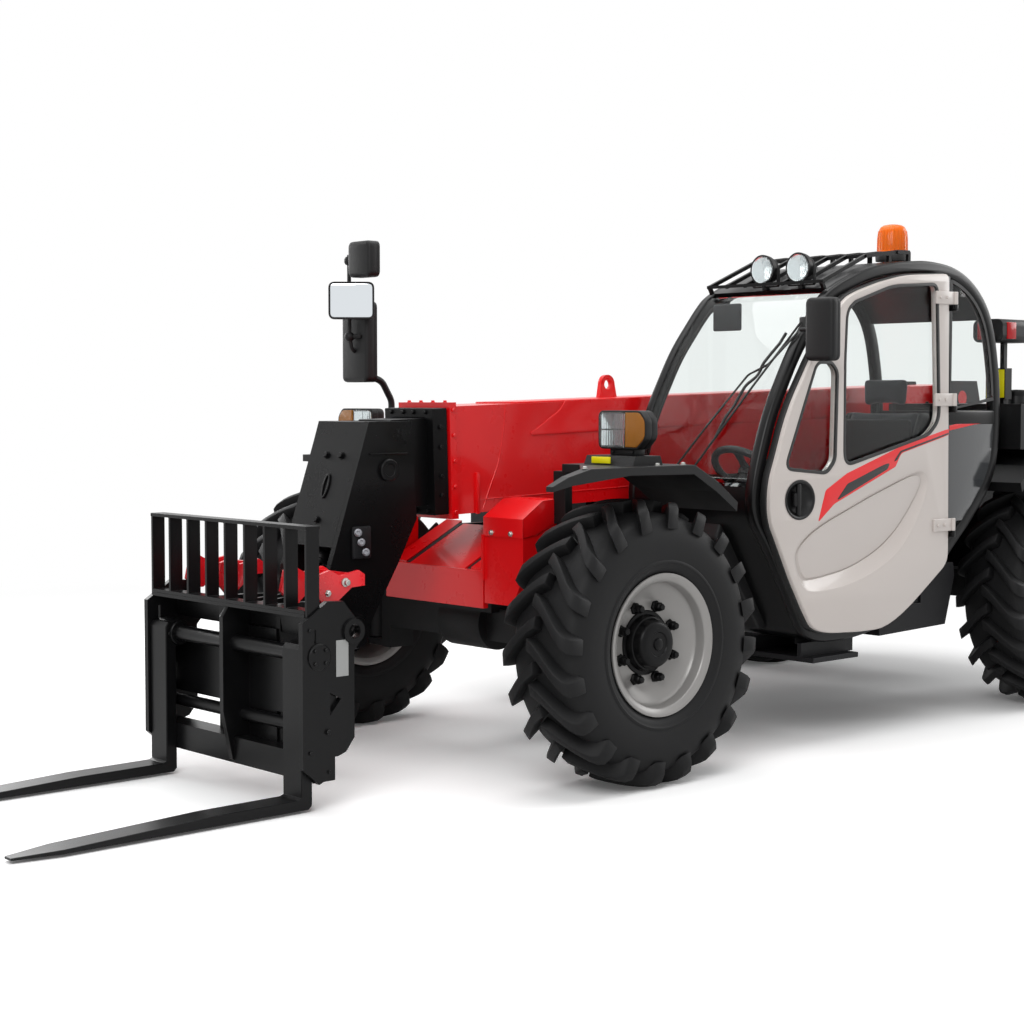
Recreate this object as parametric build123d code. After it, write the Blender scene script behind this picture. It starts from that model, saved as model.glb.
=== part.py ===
# Telehandler: compact telescopic handler with a left-hand cab, pallet forks and four-wheel steering.
# Millimetres, +Z up, the machine faces -Y, its left (cab) side is +X, the ground is Z = 0.
# Every sub-part is drawn with Y = 0 on the front axle and moved to mid-length when it is written.
import os
from math import cos, hypot, pi, radians, sin

from build123d import *

os.makedirs("parts", exist_ok=True)

# ------------------------------------------------------------------ driving dimensions
AXLE_TO_MID = 530.0          # front axle ahead of the middle of the overall length
WHEELBASE = 2640.0

TYRE_R = 500.0               # over the lug tips
LUG_DEPTH = 28.0             # lug tips above the carcass
TYRE_W = 326.0
WHEEL_X = 830.0              # middle of the tyre from the mid-plane
RIM_R = 229.0                # bead seat, 18 inch
RIM_FLANGE_R = 250.0
LUGS_A_SIDE = 17             # the carcass has as many flats
NUT_COUNT = 8
NUT_PCD_R = 133.0
KINGPIN_X = 620.0

BOOM_PITCH = 1.7             # nose-down slope of the boom at rest, degrees
PIVOT_Y = WHEELBASE + 260.0
PIVOT_Z = 1350.0
BOOM_DROP = 136.0            # boom's centre line below the pivot
OUTER_HW = 135.0             # half width and half height of each boom section
OUTER_HH = 200.0
MID_HW = 117.0
MID_HH = 180.0
INNER_HW = 99.0
INNER_HH = 160.0
BOOM_WALL = 10.0
SLIDE_GAP = 0.3              # play at the boom's wear pads

TILT_Y = -750.0              # carriage pivot
TILT_Z = 535.0
TILT_PIN_R = 30.0
PIN_FIT = 0.05               # running play at pins

FRAME_X0 = 165.0             # chassis side plates
FRAME_X1 = 190.0

CAB_X0 = 196.0               # cab's inner (boom side) face
CAB_X1 = 850.0               # cab's outer frame face
CAB_TUBE = 50.0
DOOR_X0 = 856.0
DOOR_X1 = 898.0
DOOR_HINGE_X = 906.0
DOOR_HINGE_Y = 1802.0
DOOR_HINGE_Z = (831.0, 1344.0, 1759.0)

FORK_X = 414.0
FORK_W = 104.0
FORK_T = 42.0
FORK_TIP_Y = -2170.0
FORK_FACE_Y = -1163.0
SHAFT_Y = -1108.0
SHAFT_Z = 512.0
SHAFT_R = 27.0

REAR_Y = WHEELBASE + 590.0
FRAME_END_Y = WHEELBASE + 450.0
LIFT_BASE = (WHEELBASE + 220.0, 718.0)   # cylinder pins, y and z
LIFT_EYE = (1950.0, 912.0)
TILT_BASE = (-560.0, 1060.0)
TILT_EYE = (-850.0, 620.0)
BONNET_HINGE = (2506.0, 1342.0)
EYE_Y = -970.0               # lifting eyes in the carriage's side plates
EYE_Z = 585.0
EYE_R = 24.0


# ------------------------------------------------------------------ small shape helpers
def block(x0, x1, y0, y1, z0, z1):
    """Box between two corners."""
    return Pos((x0 + x1) / 2, (y0 + y1) / 2, (z0 + z1) / 2) * Box(abs(x1 - x0), abs(y1 - y0), abs(z1 - z0))


def plate_x(x0, x1, outline):
    """Plate between two X planes from a (y, z) outline."""
    face = make_face(Polyline(*[(x0, y, z) for y, z in outline], close=True))
    return extrude(face, amount=abs(x1 - x0), dir=(1 if x1 > x0 else -1, 0, 0))


def plate_y(y0, y1, outline):
    """Plate between two Y planes from an (x, z) outline."""
    face = make_face(Polyline(*[(x, y0, z) for x, z in outline], close=True))
    return extrude(face, amount=abs(y1 - y0), dir=(0, 1 if y1 > y0 else -1, 0))


def plate_z(z0, z1, outline):
    """Plate between two Z planes from an (x, y) outline."""
    face = make_face(Polyline(*[(x, y, z0) for x, y in outline], close=True))
    return extrude(face, amount=abs(z1 - z0), dir=(0, 0, 1 if z1 > z0 else -1))


def rod_x(x0, x1, y, z, r):
    """Round bar along X."""
    return Pos((x0 + x1) / 2, y, z) * Rot(0, 90, 0) * Cylinder(r, abs(x1 - x0))


def rod_z(x, y, z0, z1, r):
    """Round bar along Z."""
    return Pos(x, y, (z0 + z1) / 2) * Cylinder(r, abs(z1 - z0))


def rod(a, b, r):
    """Round bar between two points."""
    va, vb = Vector(*a), Vector(*b)
    d = vb - va
    return Plane(origin=(va + vb) * 0.5, z_dir=d) * Cylinder(r, d.length)


def bent_tube(points, r):
    """Tube through points: round bars with a ball at each bend."""
    shape = rod(points[0], points[1], r)
    for a, b in zip(points[1:-1], points[2:]):
        shape = shape + rod(a, b, r) + Pos(*a) * Sphere(r)
    return shape


def rounded(shape, axis, r):
    """Block with its edges along one axis rounded."""
    return fillet(shape.edges().filter_by(axis), r)


def both(shape):
    """A shape and its mirror image across the mid-plane."""
    return [shape, mirror(shape, about=Plane.YZ)]


def ring_x(x0, x1, y, z, r_out, r_in):
    """Washer or boss along X."""
    return rod_x(x0, x1, y, z, r_out) - rod_x(x0 - 1, x1 + 1, y, z, r_in)


def join(shapes):
    """Union of a list of shapes."""
    total = shapes[0]
    for s in shapes[1:]:
        total = total + s
    return total


def out(name, *shapes):
    """Write one node: its solids, moved from the front axle to mid-length."""
    solids = []
    for s in shapes:
        solids.extend(s.solids())
    node = Compound(children=[Pos(0, -AXLE_TO_MID, 0) * s for s in solids])
    export_step(node, "parts/" + name + ".step")


def box_tube(hw, hh, y0, y1, wall, cz):
    """Square tube along Y."""
    outer = block(-hw, hw, y0, y1, cz - hh, cz + hh)
    bore = block(-hw + wall, hw - wall, y0 - 1, y1 + 1, cz - hh + wall, cz + hh - wall)
    return outer - bore


# ------------------------------------------------------------------ wheels
def polyhedron(points, loops):
    """Solid from corner points and the loops of corners round its flat faces."""
    faces = [Face(Wire.make_polygon([Vector(*points[i]) for i in loop], close=True)) for loop in loops]
    return Solid(Shell(faces))


def carcass_shape():
    """Tyre without its lugs, flat-sided all round, about the X axis."""
    hw = TYRE_W / 2
    flat = 1 / cos(pi / LUGS_A_SIDE)
    half = [
        # x, radius
        (96.0, (RIM_R + SLIDE_GAP) * flat),
        (134.0, (RIM_FLANGE_R - 7) * flat),
        (hw, (TYRE_R + RIM_FLANGE_R) / 2 - 15),
        (hw - 30, TYRE_R - LUG_DEPTH - 16),
    ]
    section = half + [(-x, r) for x, r in reversed(half)]
    n = len(section)
    points = []
    loops = []
    for i in range(LUGS_A_SIDE):
        a = 2 * pi * i / LUGS_A_SIDE
        points.extend((x, r * cos(a), r * sin(a)) for x, r in section)
        j = (i + 1) % LUGS_A_SIDE
        for k in range(n):
            m = (k + 1) % n
            loops.append((i * n + k, i * n + m, j * n + m, j * n + k))
    return polyhedron(points, loops)


def lug_shape():
    """One chevron lug from the tyre's middle to its shoulder."""
    ends = (
        # x, first and last angle in degrees, root and tip radius
        (3.0, 0.0, 5.4, TYRE_R - LUG_DEPTH - 24, TYRE_R),
        (TYRE_W / 2 - 1, 13.0, 17.5, TYRE_R - LUG_DEPTH - 56, TYRE_R - 12),
    )
    points = []
    for x, a0, a1, root, tip in ends:
        for a, r in ((a0, root), (a0, tip), (a1, tip), (a1, root)):
            points.append((x, r * sin(radians(a)), r * cos(radians(a))))
    loops = [(2, 1, 0), (3, 2, 0), (4, 5, 6), (4, 6, 7)]
    for k in range(4):
        m = (k + 1) % 4
        loops.extend([(k, m, m + 4), (k, m + 4, k + 4)])
    return polyhedron(points, loops)


def tyre_shape():
    """Tyre about the X axis at the origin, outer side to +X, lugs fused to the carcass."""
    lug = lug_shape()
    pitch_angle = 360.0 / LUGS_A_SIDE
    lug_other = Rot(pitch_angle / 2, 0, 0) * mirror(lug, about=Plane.YZ)
    lugs = []
    for i in range(LUGS_A_SIDE):
        lugs.append(Rot(i * pitch_angle, 0, 0) * lug)
        lugs.append(Rot(i * pitch_angle, 0, 0) * lug_other)
    return carcass_shape().fuse(*lugs)


def rim_shape():
    """Dished rim with nuts and hub cap about X, outer side to +X."""
    section = [
        # x, radius
        (-150.0, RIM_FLANGE_R - 8), (-150.0, RIM_FLANGE_R), (-138.0, RIM_FLANGE_R), (-134.0, RIM_R),
        (134.0, RIM_R), (138.0, RIM_FLANGE_R), (150.0, RIM_FLANGE_R), (150.0, RIM_FLANGE_R - 8),
        (142.0, RIM_R - 8), (96.0, RIM_R - 12), (84.0, 200.0), (66.0, 172.0), (58.0, 150.0), (58.0, 0.0),
        (44.0, 0.0), (44.0, 154.0), (52.0, 178.0), (70.0, 206.0), (70.0, RIM_R - 12), (-142.0, RIM_R - 8),
    ]
    disc = revolve(make_face(Polyline(*[(x, 0, r) for x, r in section], close=True)), axis=Axis.X)
    cap = [(58.0, 0.0), (58.0, 98.0), (86.0, 92.0), (112.0, 84.0), (124.0, 66.0), (124.0, 0.0)]
    cap_solid = revolve(make_face(Polyline(*[(x, 0, r) for x, r in cap], close=True)), axis=Axis.X)
    shape = disc + cap_solid
    nut = extrude(RegularPolygon(17, 6), amount=24)
    for i in range(NUT_COUNT):
        a = radians(360.0 / NUT_COUNT * (i + 0.5))
        shape = shape + Pos(58, NUT_PCD_R * cos(a), NUT_PCD_R * sin(a)) * Rot(0, 90, 0) * nut
    return shape


def knuckle_shape():
    """Steering knuckle and hub housing about the wheel's axis, outer side to +X from the kingpin."""
    post = rod_z(KINGPIN_X, 0, TYRE_R - 118, TYRE_R + 118, 42)
    neck = block(KINGPIN_X, 700, -62, 62, TYRE_R - 90, TYRE_R + 90)
    drum = rod_x(690, WHEEL_X + 43.7, 0, TYRE_R, 146)
    return post + neck + drum - rod_z(KINGPIN_X, 0, TYRE_R - 130, TYRE_R + 130, 22 + PIN_FIT)


def axle_shape():
    """Axle beam with a clevis and kingpin at each end."""
    beam = block(-480, 480, -62, 62, TYRE_R - 62, TYRE_R + 62)
    pot = rod_x(-120, 120, 0, TYRE_R, 104)
    pads = block(-190, 190, -100, 100, TYRE_R + 50, 620)
    shape = beam + pot + pads
    for side in (1, -1):
        x0, x1 = side * 470, side * KINGPIN_X
        web = block(x0, side * 530, -58, 58, TYRE_R - 150, TYRE_R + 150)
        shape = shape + web
        for z0, z1 in ((TYRE_R + 124, TYRE_R + 150), (TYRE_R - 150, TYRE_R - 124)):
            shape = shape + block(x0, x1, -44, 44, z0, z1) + rod_z(x1, 0, z0, z1, 44)
        shape = shape + rod_z(x1, 0, TYRE_R - 140, TYRE_R + 140, 22)
    return shape


axle = axle_shape()
out("axles", axle, Pos(0, WHEELBASE, 0) * axle)

tyre = tyre_shape()
rim = rim_shape()
knuckle = knuckle_shape()
for tag, side, y in (("front_left", 1, 0.0), ("front_right", -1, 0.0),
                     ("rear_left", 1, WHEELBASE), ("rear_right", -1, WHEELBASE)):
    for name, part, at in (("tyre_", tyre, Pos(WHEEL_X, 0, TYRE_R)), ("rim_", rim, Pos(WHEEL_X, 0, TYRE_R)),
                           ("knuckle_", knuckle, Pos(0, 0, 0))):
        placed = at * part
        if side < 0:
            placed = mirror(placed, about=Plane.YZ)
        out(name + tag, Pos(0, y, 0) * placed)


CAB_SIDE = [
    # y, z : outline of the cab's side seen from the left
    (945, 403), (872, 520), (700, 800), (612, 905), (612, 1035), (704, 1300), (850, 1545), (985, 1700),
    (1060, 1776), (1309, 1869), (1500, 1898), (1690, 1911), (1888, 1896), (2056, 1816), (2170, 1675),
    (2221, 1418), (2227, 1170), (2179, 988), (2013, 824), (1795, 643), (1617, 535), (1464, 445), (1236, 403),
]


def inset(points, d):
    """Outline moved inward by d, for a clockwise or anticlockwise loop."""
    n = len(points)
    area = sum(points[i][0] * points[(i + 1) % n][1] - points[(i + 1) % n][0] * points[i][1] for i in range(n))
    turn = 1.0 if area > 0 else -1.0
    result = []
    for i in range(n):
        ax, ay = points[i - 1]
        bx, by = points[i]
        cx, cy = points[(i + 1) % n]
        ux, uy = bx - ax, by - ay
        vx, vy = cx - bx, cy - by
        lu, lv = hypot(ux, uy), hypot(vx, vy)
        n1 = (-uy / lu * turn, ux / lu * turn)
        n2 = (-vy / lv * turn, vx / lv * turn)
        k = d / (1 + n1[0] * n2[0] + n1[1] * n2[1])
        result.append((bx + (n1[0] + n2[0]) * k, by + (n1[1] + n2[1]) * k))
    return result


# ------------------------------------------------------------------ chassis
def chassis_frame():
    """Two side plates with boom towers, belly, cross members and cylinder lugs."""
    gap0, gap1, end = WHEELBASE - 140, WHEELBASE + 150, FRAME_END_Y
    outline = [
        # y, z
        (-200, 620.3), (140, 620.3), (140, 420), (gap0, 420), (gap0, 620.3), (gap1, 620.3), (gap1, 420),
        (end, 420), (end, 1180), (PIVOT_Y + 120, 1432), (PIVOT_Y - 120, 1432), (PIVOT_Y - 380, 1010),
        (PIVOT_Y - 540, 860), (60, 860), (-200, 722),
    ]
    sides = both(plate_x(FRAME_X0, FRAME_X1, outline))
    hole = rod_x(-300, 300, PIVOT_Y, PIVOT_Z, 35)
    parts = [s - hole for s in sides]
    w = FRAME_X0
    parts.append(block(-w, w, -200, -180, 640, 704))
    parts.append(block(-w, w, 140, gap0, 420, 436))
    parts.append(block(-w, w, 140, 160, 420, 800))
    parts.append(block(-w, w, 1300, 1320, 420, 620))
    parts.append(block(-w, w, gap0 - 20, gap0, 420, 636))
    parts.append(block(-w, w, gap0 - 20, gap1 + 20, 620.3, 636))
    parts.append(block(-w, w, end - 20, end, 420, 1000))
    parts.append(block(-w, w, gap1, gap1 + 20, 420, 636))
    parts.append(block(-w, w, gap1, end, 420, 436))
    ly, lz = LIFT_BASE
    lug = plate_x(64, 84, [(gap1, 630), (end - 18, 630), (end - 18, lz + 42), (ly + 40, lz + 62), (ly - 30, lz + 52)])
    parts.extend(both(lug))
    skin = plate_x(CAB_X0 - 10, CAB_X1 + 10, inset(CAB_SIDE, -0.3))
    for y, z0, z1 in ((1260, 340, 470), (1700, 500, 640)):
        parts.append(block(FRAME_X1 - 1, 770, y, y + 60, z0, z1) - skin)
        parts.append(block(FRAME_X1 - 1, CAB_X0 - 0.5, y, y + 60, z0, 640))
    frame = join(parts)
    frame = frame + rod_x(-w - 1, w + 1, LIFT_BASE[0], LIFT_BASE[1], 24)
    return frame


out("chassis_frame", chassis_frame())


def nose():
    """Sheet-metal nose: cross band, deck rising behind it and a lidded box at each front corner."""
    band = block(-286, 286, -224, -200.3, 585, 722)
    deck = plate_x(-160, 160, [(-224, 712), (-200, 708), (62, 846), (62, 860), (-208, 722), (-224, 722)])
    cheeks = both(plate_x(FRAME_X1 + 0.3, 286, [(-200.3, 600), (80, 660), (80, 870), (-200.3, 728)]))
    posts = both(block(284, 296, -232, -221, 690, 856))
    boxes = []
    box = plate_x(292, 500, [(-222, 606), (-60, 640), (-60, 984), (-128, 978), (-222, 918)])
    trim = plate_y(-230, -50, [(438, 590), (520, 590), (520, 760)])
    box = box - trim
    boxes = both(box)
    link = both(block(285, 293, -190, -70, 660, 730))
    return join([band, deck] + cheeks + boxes + link + posts)


out("nose_panels", nose())


def rear_end():
    """Cast counterweight between the rear wheels and the tail beam over them."""
    y0 = FRAME_END_Y + 0.3
    weight = plate_x(-340, 340, [(y0, 430), (REAR_Y - 60, 430), (REAR_Y, 520), (REAR_Y, 985), (y0, 985)])
    cheek = [(y0 - 260, 470), (y0 + 0.1, 470), (y0 + 0.1, 985), (y0 - 260, 985)]
    tail = block(-900, 900, REAR_Y - 110, REAR_Y - 30, 1052, 1200)
    riser = block(-330, 330, REAR_Y - 110, REAR_Y - 30, 980, 1060)
    return join([weight, tail, riser] + both(plate_x(FRAME_X1 + 0.3, 340, cheek)))


out("counterweight", rear_end())


# ------------------------------------------------------------------ mudguards
def mudguard(front, x0, x1):
    """Folded mudguard over a wheel; front and rear ones have their own outline."""
    if front:
        top = [
            # y, z of the upper face
            (-505, 1062), (-430, 1092), (-327, 1116), (180, 1118), (300, 1056), (408, 978),
        ]
        under = [(404, 944), (292, 1020), (176, 1084), (-140, 1088), (-410, 1062), (-505, 1044)]
    else:
        top = [(-420, 990), (-330, 1062), (-180, 1112), (200, 1112), (479.7, 1096)]
        under = [(479.7, 1066), (200, 1082), (-180, 1082), (-318, 1026), (-408, 950)]
    shell = plate_x(x0, x1, top + under)
    return shell


front_guard = mudguard(True, 560, 955) + block(500.3, 562, -75, -40, 900, 1090)
front_guard = front_guard - plate_z(1000, 1200, [(550, -530), (925, -530), (905, -330), (652, -90), (550, -90)])
plinth = plate_x(640, 884, [(-60, 1116), (92, 1116), (80, 1150), (-44, 1150)])
guards = both(front_guard + plinth)
rear_guard = Pos(0, WHEELBASE, 0) * mudguard(False, 560, 955)
out("mudguards", *guards, *both(rear_guard))


# ------------------------------------------------------------------ cab
def cab_band(x0, x1, outer, inner):
    """Shell that follows the cab's side outline between two insets."""
    return plate_x(x0, x1, inset(CAB_SIDE, outer)) - plate_x(x0 - 1, x1 + 1, inset(CAB_SIDE, inner))


def screen_zone(grow):
    """Space of the windscreen opening."""
    return block(CAB_X0, CAB_X1, 560, 1072 + grow, 1036 - grow, 1900)


def rear_zone(grow):
    """Space of the rear window opening."""
    return block(CAB_X0, CAB_X1, 2040 - grow, 2300, 1300 - grow, 1810 + grow)


def cab_frame():
    """Two side rings, shell with windscreen and rear openings, right wall and left rear quarter."""
    inner = inset(CAB_SIDE, CAB_TUBE)
    left = plate_x(CAB_X1 - 46, CAB_X1, CAB_SIDE) - plate_x(CAB_X1 - 60, CAB_X1 + 10, inner)
    right = plate_x(CAB_X0, CAB_X0 + 40, CAB_SIDE) - plate_x(CAB_X0 - 10, CAB_X0 + 60, inner)
    shell = cab_band(CAB_X0 + 4, CAB_X1 - 4, 0, 25) - screen_zone(0) - rear_zone(0)
    b_post = block(CAB_X1 - 46, CAB_X1, 1800, 1850, 650, 1860)
    waist = block(CAB_X1 - 46, CAB_X1, 1820, 2190, 1235, 1300)
    quarter = plate_x(CAB_X1 - 20, CAB_X1 - 2, inner) & block(CAB_X0, CAB_X1, 1840, 2300, 600, 1240)
    wall = plate_x(CAB_X0 + 4, CAB_X0 + 22, inner) & block(CAB_X0, CAB_X1, 600, 2300, 350, 1000)
    hinges = []
    for z in DOOR_HINGE_Z:
        hinges.append(block(CAB_X1 - 1, 914, 1794, 1812, z - 52, z - 26.3))
        hinges.append(rod_z(DOOR_HINGE_X, DOOR_HINGE_Y, z - 40, z + 24, 5))
    return join([left, right, shell, b_post, waist, quarter, wall] + hinges)


out("cab_frame", cab_frame())


def cab_glass():
    """Windscreen, right, rear and quarter panes."""
    x0, x1 = CAB_X0 + 40.3, CAB_X1 - 46.3
    pane = cab_band(x0, x1, 8, 15)
    edge = inset(CAB_SIDE, CAB_TUBE + 0.3)
    screen = pane & screen_zone(-0.3)
    rear = pane & rear_zone(-0.3)
    right = plate_x(CAB_X0 + 12, CAB_X0 + 19, edge) & block(CAB_X0, CAB_X1, 600, 2300, 1000.3, 1900)
    quarter = plate_x(CAB_X1 - 14, CAB_X1 - 7, edge) & block(CAB_X0, CAB_X1, 1850.3, 2300, 1300.3, 1900)
    return [screen, rear, right, quarter]


out("cab_glass", *cab_glass())


def cab_room():
    """Clear room inside the cab."""
    return plate_x(CAB_X0 + 40.3, CAB_X1 - 46.3, inset(CAB_SIDE, 25.3))


DOOR_SIDE = [
    # y, z : outline of the door
    (932, 450), (872, 526), (785, 664), (700, 820), (655, 900), (655, 1030), (697, 1132), (761, 1302),
    (893, 1497), (1005, 1640), (1089, 1732), (1169, 1765), (1314, 1806), (1482, 1841), (1770, 1858),
    (1786, 674), (1411, 436), (1200, 436),
]
DOOR_QUARTER = [(912, 1470), (725, 1075), (985, 1055), (1040, 1110), (1050, 1455), (1010, 1490), (935, 1490)]
DOOR_WINDOW = [(1150, 1720), (1388, 1796), (1690, 1815), (1715, 1260), (1640, 1200), (1090, 1085), (1090, 1500),
               (1100, 1690)]


def door_panel():
    """Door with two window openings, three hinge leaves and a grip recess."""
    slab = plate_x(DOOR_X0, DOOR_X1, DOOR_SIDE)
    slab = slab - plate_x(DOOR_X0 - 5, DOOR_X1 + 5, DOOR_QUARTER) - plate_x(DOOR_X0 - 5, DOOR_X1 + 5, DOOR_WINDOW)
    scoop = plate_x(DOOR_X1 - 16, DOOR_X1 + 5, [(900, 800), (1120, 850), (1640, 1040), (1655, 1000), (1500, 730),
                                                (1250, 610), (1000, 600)])
    slab = slab - scoop
    handle = rod_x(DOOR_X1 - 20, DOOR_X1 + 5, 857, 965, 58)
    slab = slab - handle + block(DOOR_X1 - 20, DOOR_X1 - 4, 820, 900, 950, 980)
    for z in DOOR_HINGE_Z:
        slab = slab + block(DOOR_X1, DOOR_X1 + 10, 1690, 1790, z - 26, z + 26)
        slab = slab + rod_z(DOOR_HINGE_X, DOOR_HINGE_Y, z - 26, z + 26, 10) + block(
            DOOR_X1 + 2, DOOR_X1 + 10, 1780, DOOR_HINGE_Y, z - 26, z + 26)
        slab = slab - rod_z(DOOR_HINGE_X, DOOR_HINGE_Y, z - 30, z + 30, 5 + PIN_FIT)
    return slab


out("door_panel", door_panel())
door_panes = [plate_x(DOOR_X0 + 14, DOOR_X0 + 22, inset(DOOR_QUARTER, 0.3)),
              plate_x(DOOR_X0 + 14, DOOR_X0 + 22, inset(DOOR_WINDOW, 0.3))]
out("door_glass", *door_panes)


def seat_parts():
    """Seat on the cab floor; the floor rises to the rear below it."""
    pedestal = plate_x(420, 620, [(1480, 440), (1480, 641), (1740, 641), (1740, 560)])
    cushion = rounded(block(290, 750, 1340, 1780, 640, 745), Axis.Z, 50)
    back = plate_x(310, 730, [(1700, 745), (1780, 745), (1900, 1300), (1810, 1310), (1700, 800)])
    head = plate_x(400, 640, [(1826, 1308), (1892, 1300), (1912, 1440), (1850, 1446)])
    back = back & rounded(block(310, 730, 1600, 2000, 700, 1330), Axis.Y, 70)
    head = head & rounded(block(400, 640, 1700, 2000, 1200, 1446), Axis.Y, 50)
    return (pedestal + cushion + back + head) & cab_room()


out("seat", seat_parts())


def controls():
    """Dash console, steering column, wheel and armrest with joystick."""
    dash = plate_x(380, 660, [(870, 450), (620, 814), (660, 905), (860, 925), (960, 720), (940, 450)])
    side = plate_x(CAB_X0 + 42, 284, [(1000, 400), (1000, 760), (1700, 860), (1700, 560), (1460, 400)])
    column = rod((520, 840, 900), (520, 965, 1045), 30)
    stick = rod((260, 1330, 800), (260, 1320, 950), 12) + Pos(260, 1320, 960) * Sphere(26)
    ring = Pos(520, 972, 1052) * Rot(-49.2, 0, 0) * Torus(165, 15)
    spokes = Pos(520, 972, 1052) * Rot(-49.2, 0, 0) * (Box(320, 24, 12) + Cylinder(36, 26))
    room = cab_room()
    return (dash & room) + column + ring + spokes, (side & room) + stick


out("controls", *controls())


def roof_guard():
    """Bars over the front of the roof, along the machine, on cross rails."""
    path = [(1040, 1800), (1316, 1912), (1520, 1938), (1600, 1940)]
    up = [(y, z + 8) for y, z in path]
    down = [(y, z - 8) for y, z in reversed(path)]
    bars = []
    for i in range(7):
        x = 240 + 96 * i
        bars.append(plate_x(x - 7, x + 7, up + [(1607, 1940), (1607, 1880), (1591, 1880), (1591, 1932)] + down[1:]))
    for y, z in ((1046, 1802), (1316, 1911), (1520, 1937)):
        bars.append(block(228, 828, y - 6, y + 6, z - 6, z + 6))
    for x in (240, 816):
        bars.append(plate_x(x - 7, x + 7, [(1038, 1800), (1054, 1800), (1076, 1760), (1060, 1760)]))
    return join(bars) - plate_x(CAB_X0 - 5, CAB_X1 + 5, inset(CAB_SIDE, -0.3))


out("roof_guard", roof_guard())


def work_lamps():
    """Roof work lamps and the headlamp housings on the mudguards."""
    skin = plate_x(CAB_X0 - 5, CAB_X1 + 5, inset(CAB_SIDE, -0.3))
    lamps = []
    for x in (490, 690):
        lamp = Pos(x, 1090, 1894) * Rot(90, 0, 0) * Cylinder(40, 56)
        lamps.append((lamp + block(x - 10, x + 10, 1076, 1104, 1760, 1860)) - skin)
    left = rounded(block(656, 892, 0, 70, 1172, 1308), Axis.Y, 26) + block(700, 830, 12, 58, 1150.3, 1180)
    return lamps + both(left)


out("lamp_housings", *work_lamps())
lens = rounded(block(662, 866, -6, -0.3, 1178, 1302), Axis.Y, 21)
out("lamp_lenses", *both(lens))
dome = rod_z(690, 1690, 1950, 2060, 40)
dome = fillet(dome.edges().group_by(Axis.Z)[-1], 16)
beacon = rod_z(690, 1690, 1890, 1950, 46) + dome
beacon = beacon - plate_x(CAB_X0 - 5, CAB_X1 + 5, inset(CAB_SIDE, -0.3))
out("beacon", beacon)


def mirrors():
    """Left cab mirror, right mirror cluster on its bent tube and the rear mirror."""
    left = rounded(block(903, 990, 870, 896, 1490, 1725), Axis.Y, 24)
    left = left + block(900, 915, 890, 925, 1600, 1620) + block(850.3, 915, 908, 925, 1600, 1620)
    arm = bent_tube([(-700, 130, 1125), (-700, 130, 1340), (-700, 70, 1416), (-700, -60, 1430),
                     (-700, -110, 1500), (-700, -110, 1900)], 14)
    foot = rod_z(-700, 130, 1118.3, 1140, 30)
    tall = rounded(block(-800, -680, -150, -122, 1420, 1740), Axis.Y, 24)
    tall = tall + block(-712, -688, -130, -108, 1560, 1600)
    wide = rounded(block(-830, -660, -152, -126, 1655, 1800), Axis.Y, 24)
    small = rounded(block(-790, -700, -150, -122, 1835, 1975), Axis.Y, 24)
    small = small + block(-712, -698, -130, -105, 1850, 1900)
    return left, arm + foot + tall + wide + small


out("mirrors", *mirrors())


# ------------------------------------------------------------------ right-hand power unit
def rear_cover(x0, x1, y0, y1):
    """Folded cover over a rear wheel, open below, its top rear edge sloped."""
    outline = [(y0, 1130), (y1, 1130), (y1, 1250), (y1 - 120, 1325), (y0, 1325)]
    inside = [(y0 + 12, 1120), (y1 - 12, 1120), (y1 - 12, 1244), (y1 - 124, 1313), (y0 + 12, 1313)]
    return plate_x(x0, x1, outline) - plate_x(x0 + 12, x1 - 12, inside)


def engine_bay():
    """Engine housing on the right side and the fixed rear deck over the wheel."""
    x0, x1 = -930, -FRAME_X1 - 0.3
    lower = block(x0, x1, 760, 1960, 440, 1010)
    hollow = block(x0 + 15, x1 - 15, 775, 1945, 455, 1100)
    deck = rear_cover(x0, -205, 2512, REAR_Y - 110.3)
    pin = rod_x(-772, -724, BONNET_HINGE[0], BONNET_HINGE[1], 5)
    ear = block(-739.7, -724, 2498, 2540, 1324, 1348)
    pins = pin + ear
    return lower - hollow, deck + pins + mirror(pins, about=Plane(origin=(-567, 0, 0), z_dir=(1, 0, 0)))


out("engine_bay", *engine_bay())
out("engine", block(-820, -300, 900, 1750, 455.3, 1120))


def bonnet():
    """Lift-up bonnet over the engine, hinged at its rear top edge."""
    outline = [(760, 1016), (2120, 1016), (2200, 1132), (2500, 1132), (2494, 1330), (2440, 1332),
               (880, 1332), (760, 1220)]
    inside = [(772, 1000), (2112, 1000), (2194, 1120), (2484, 1120),
              (2482, 1318), (2436, 1320), (886, 1320), (772, 1214)]
    eye = block(-760, -740, 2430, 2500, 1331, 1342) + rod_x(-760, -740, BONNET_HINGE[0], BONNET_HINGE[1], 9)
    eye = eye - rod_x(-770, -730, BONNET_HINGE[0], BONNET_HINGE[1], 5 + PIN_FIT)
    eyes = eye + mirror(eye, about=Plane(origin=(-567, 0, 0), z_dir=(1, 0, 0)))
    return plate_x(-930, -205, outline) - plate_x(-918, -217, inside) + eyes


out("bonnet", bonnet())


def side_tank():
    """Tank and step under the cab's left side."""
    tank = plate_x(FRAME_X1 + 0.3, 780, [(1480, 384), (1936, 396), (2000, 600), (1990, 656), (1830, 656), (1480, 440)])
    tank = tank - block(FRAME_X1, 790, 1699.7, 1760.3, 499.7, 700)
    step = block(520, 860, 960, 1240, 330, 350) + block(520, 540, 960, 1240, 350, 402.7) + block(
        780, 800, 960, 1240, 350, 402.7)
    return tank, step


out("side_tank", *side_tank())


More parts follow.
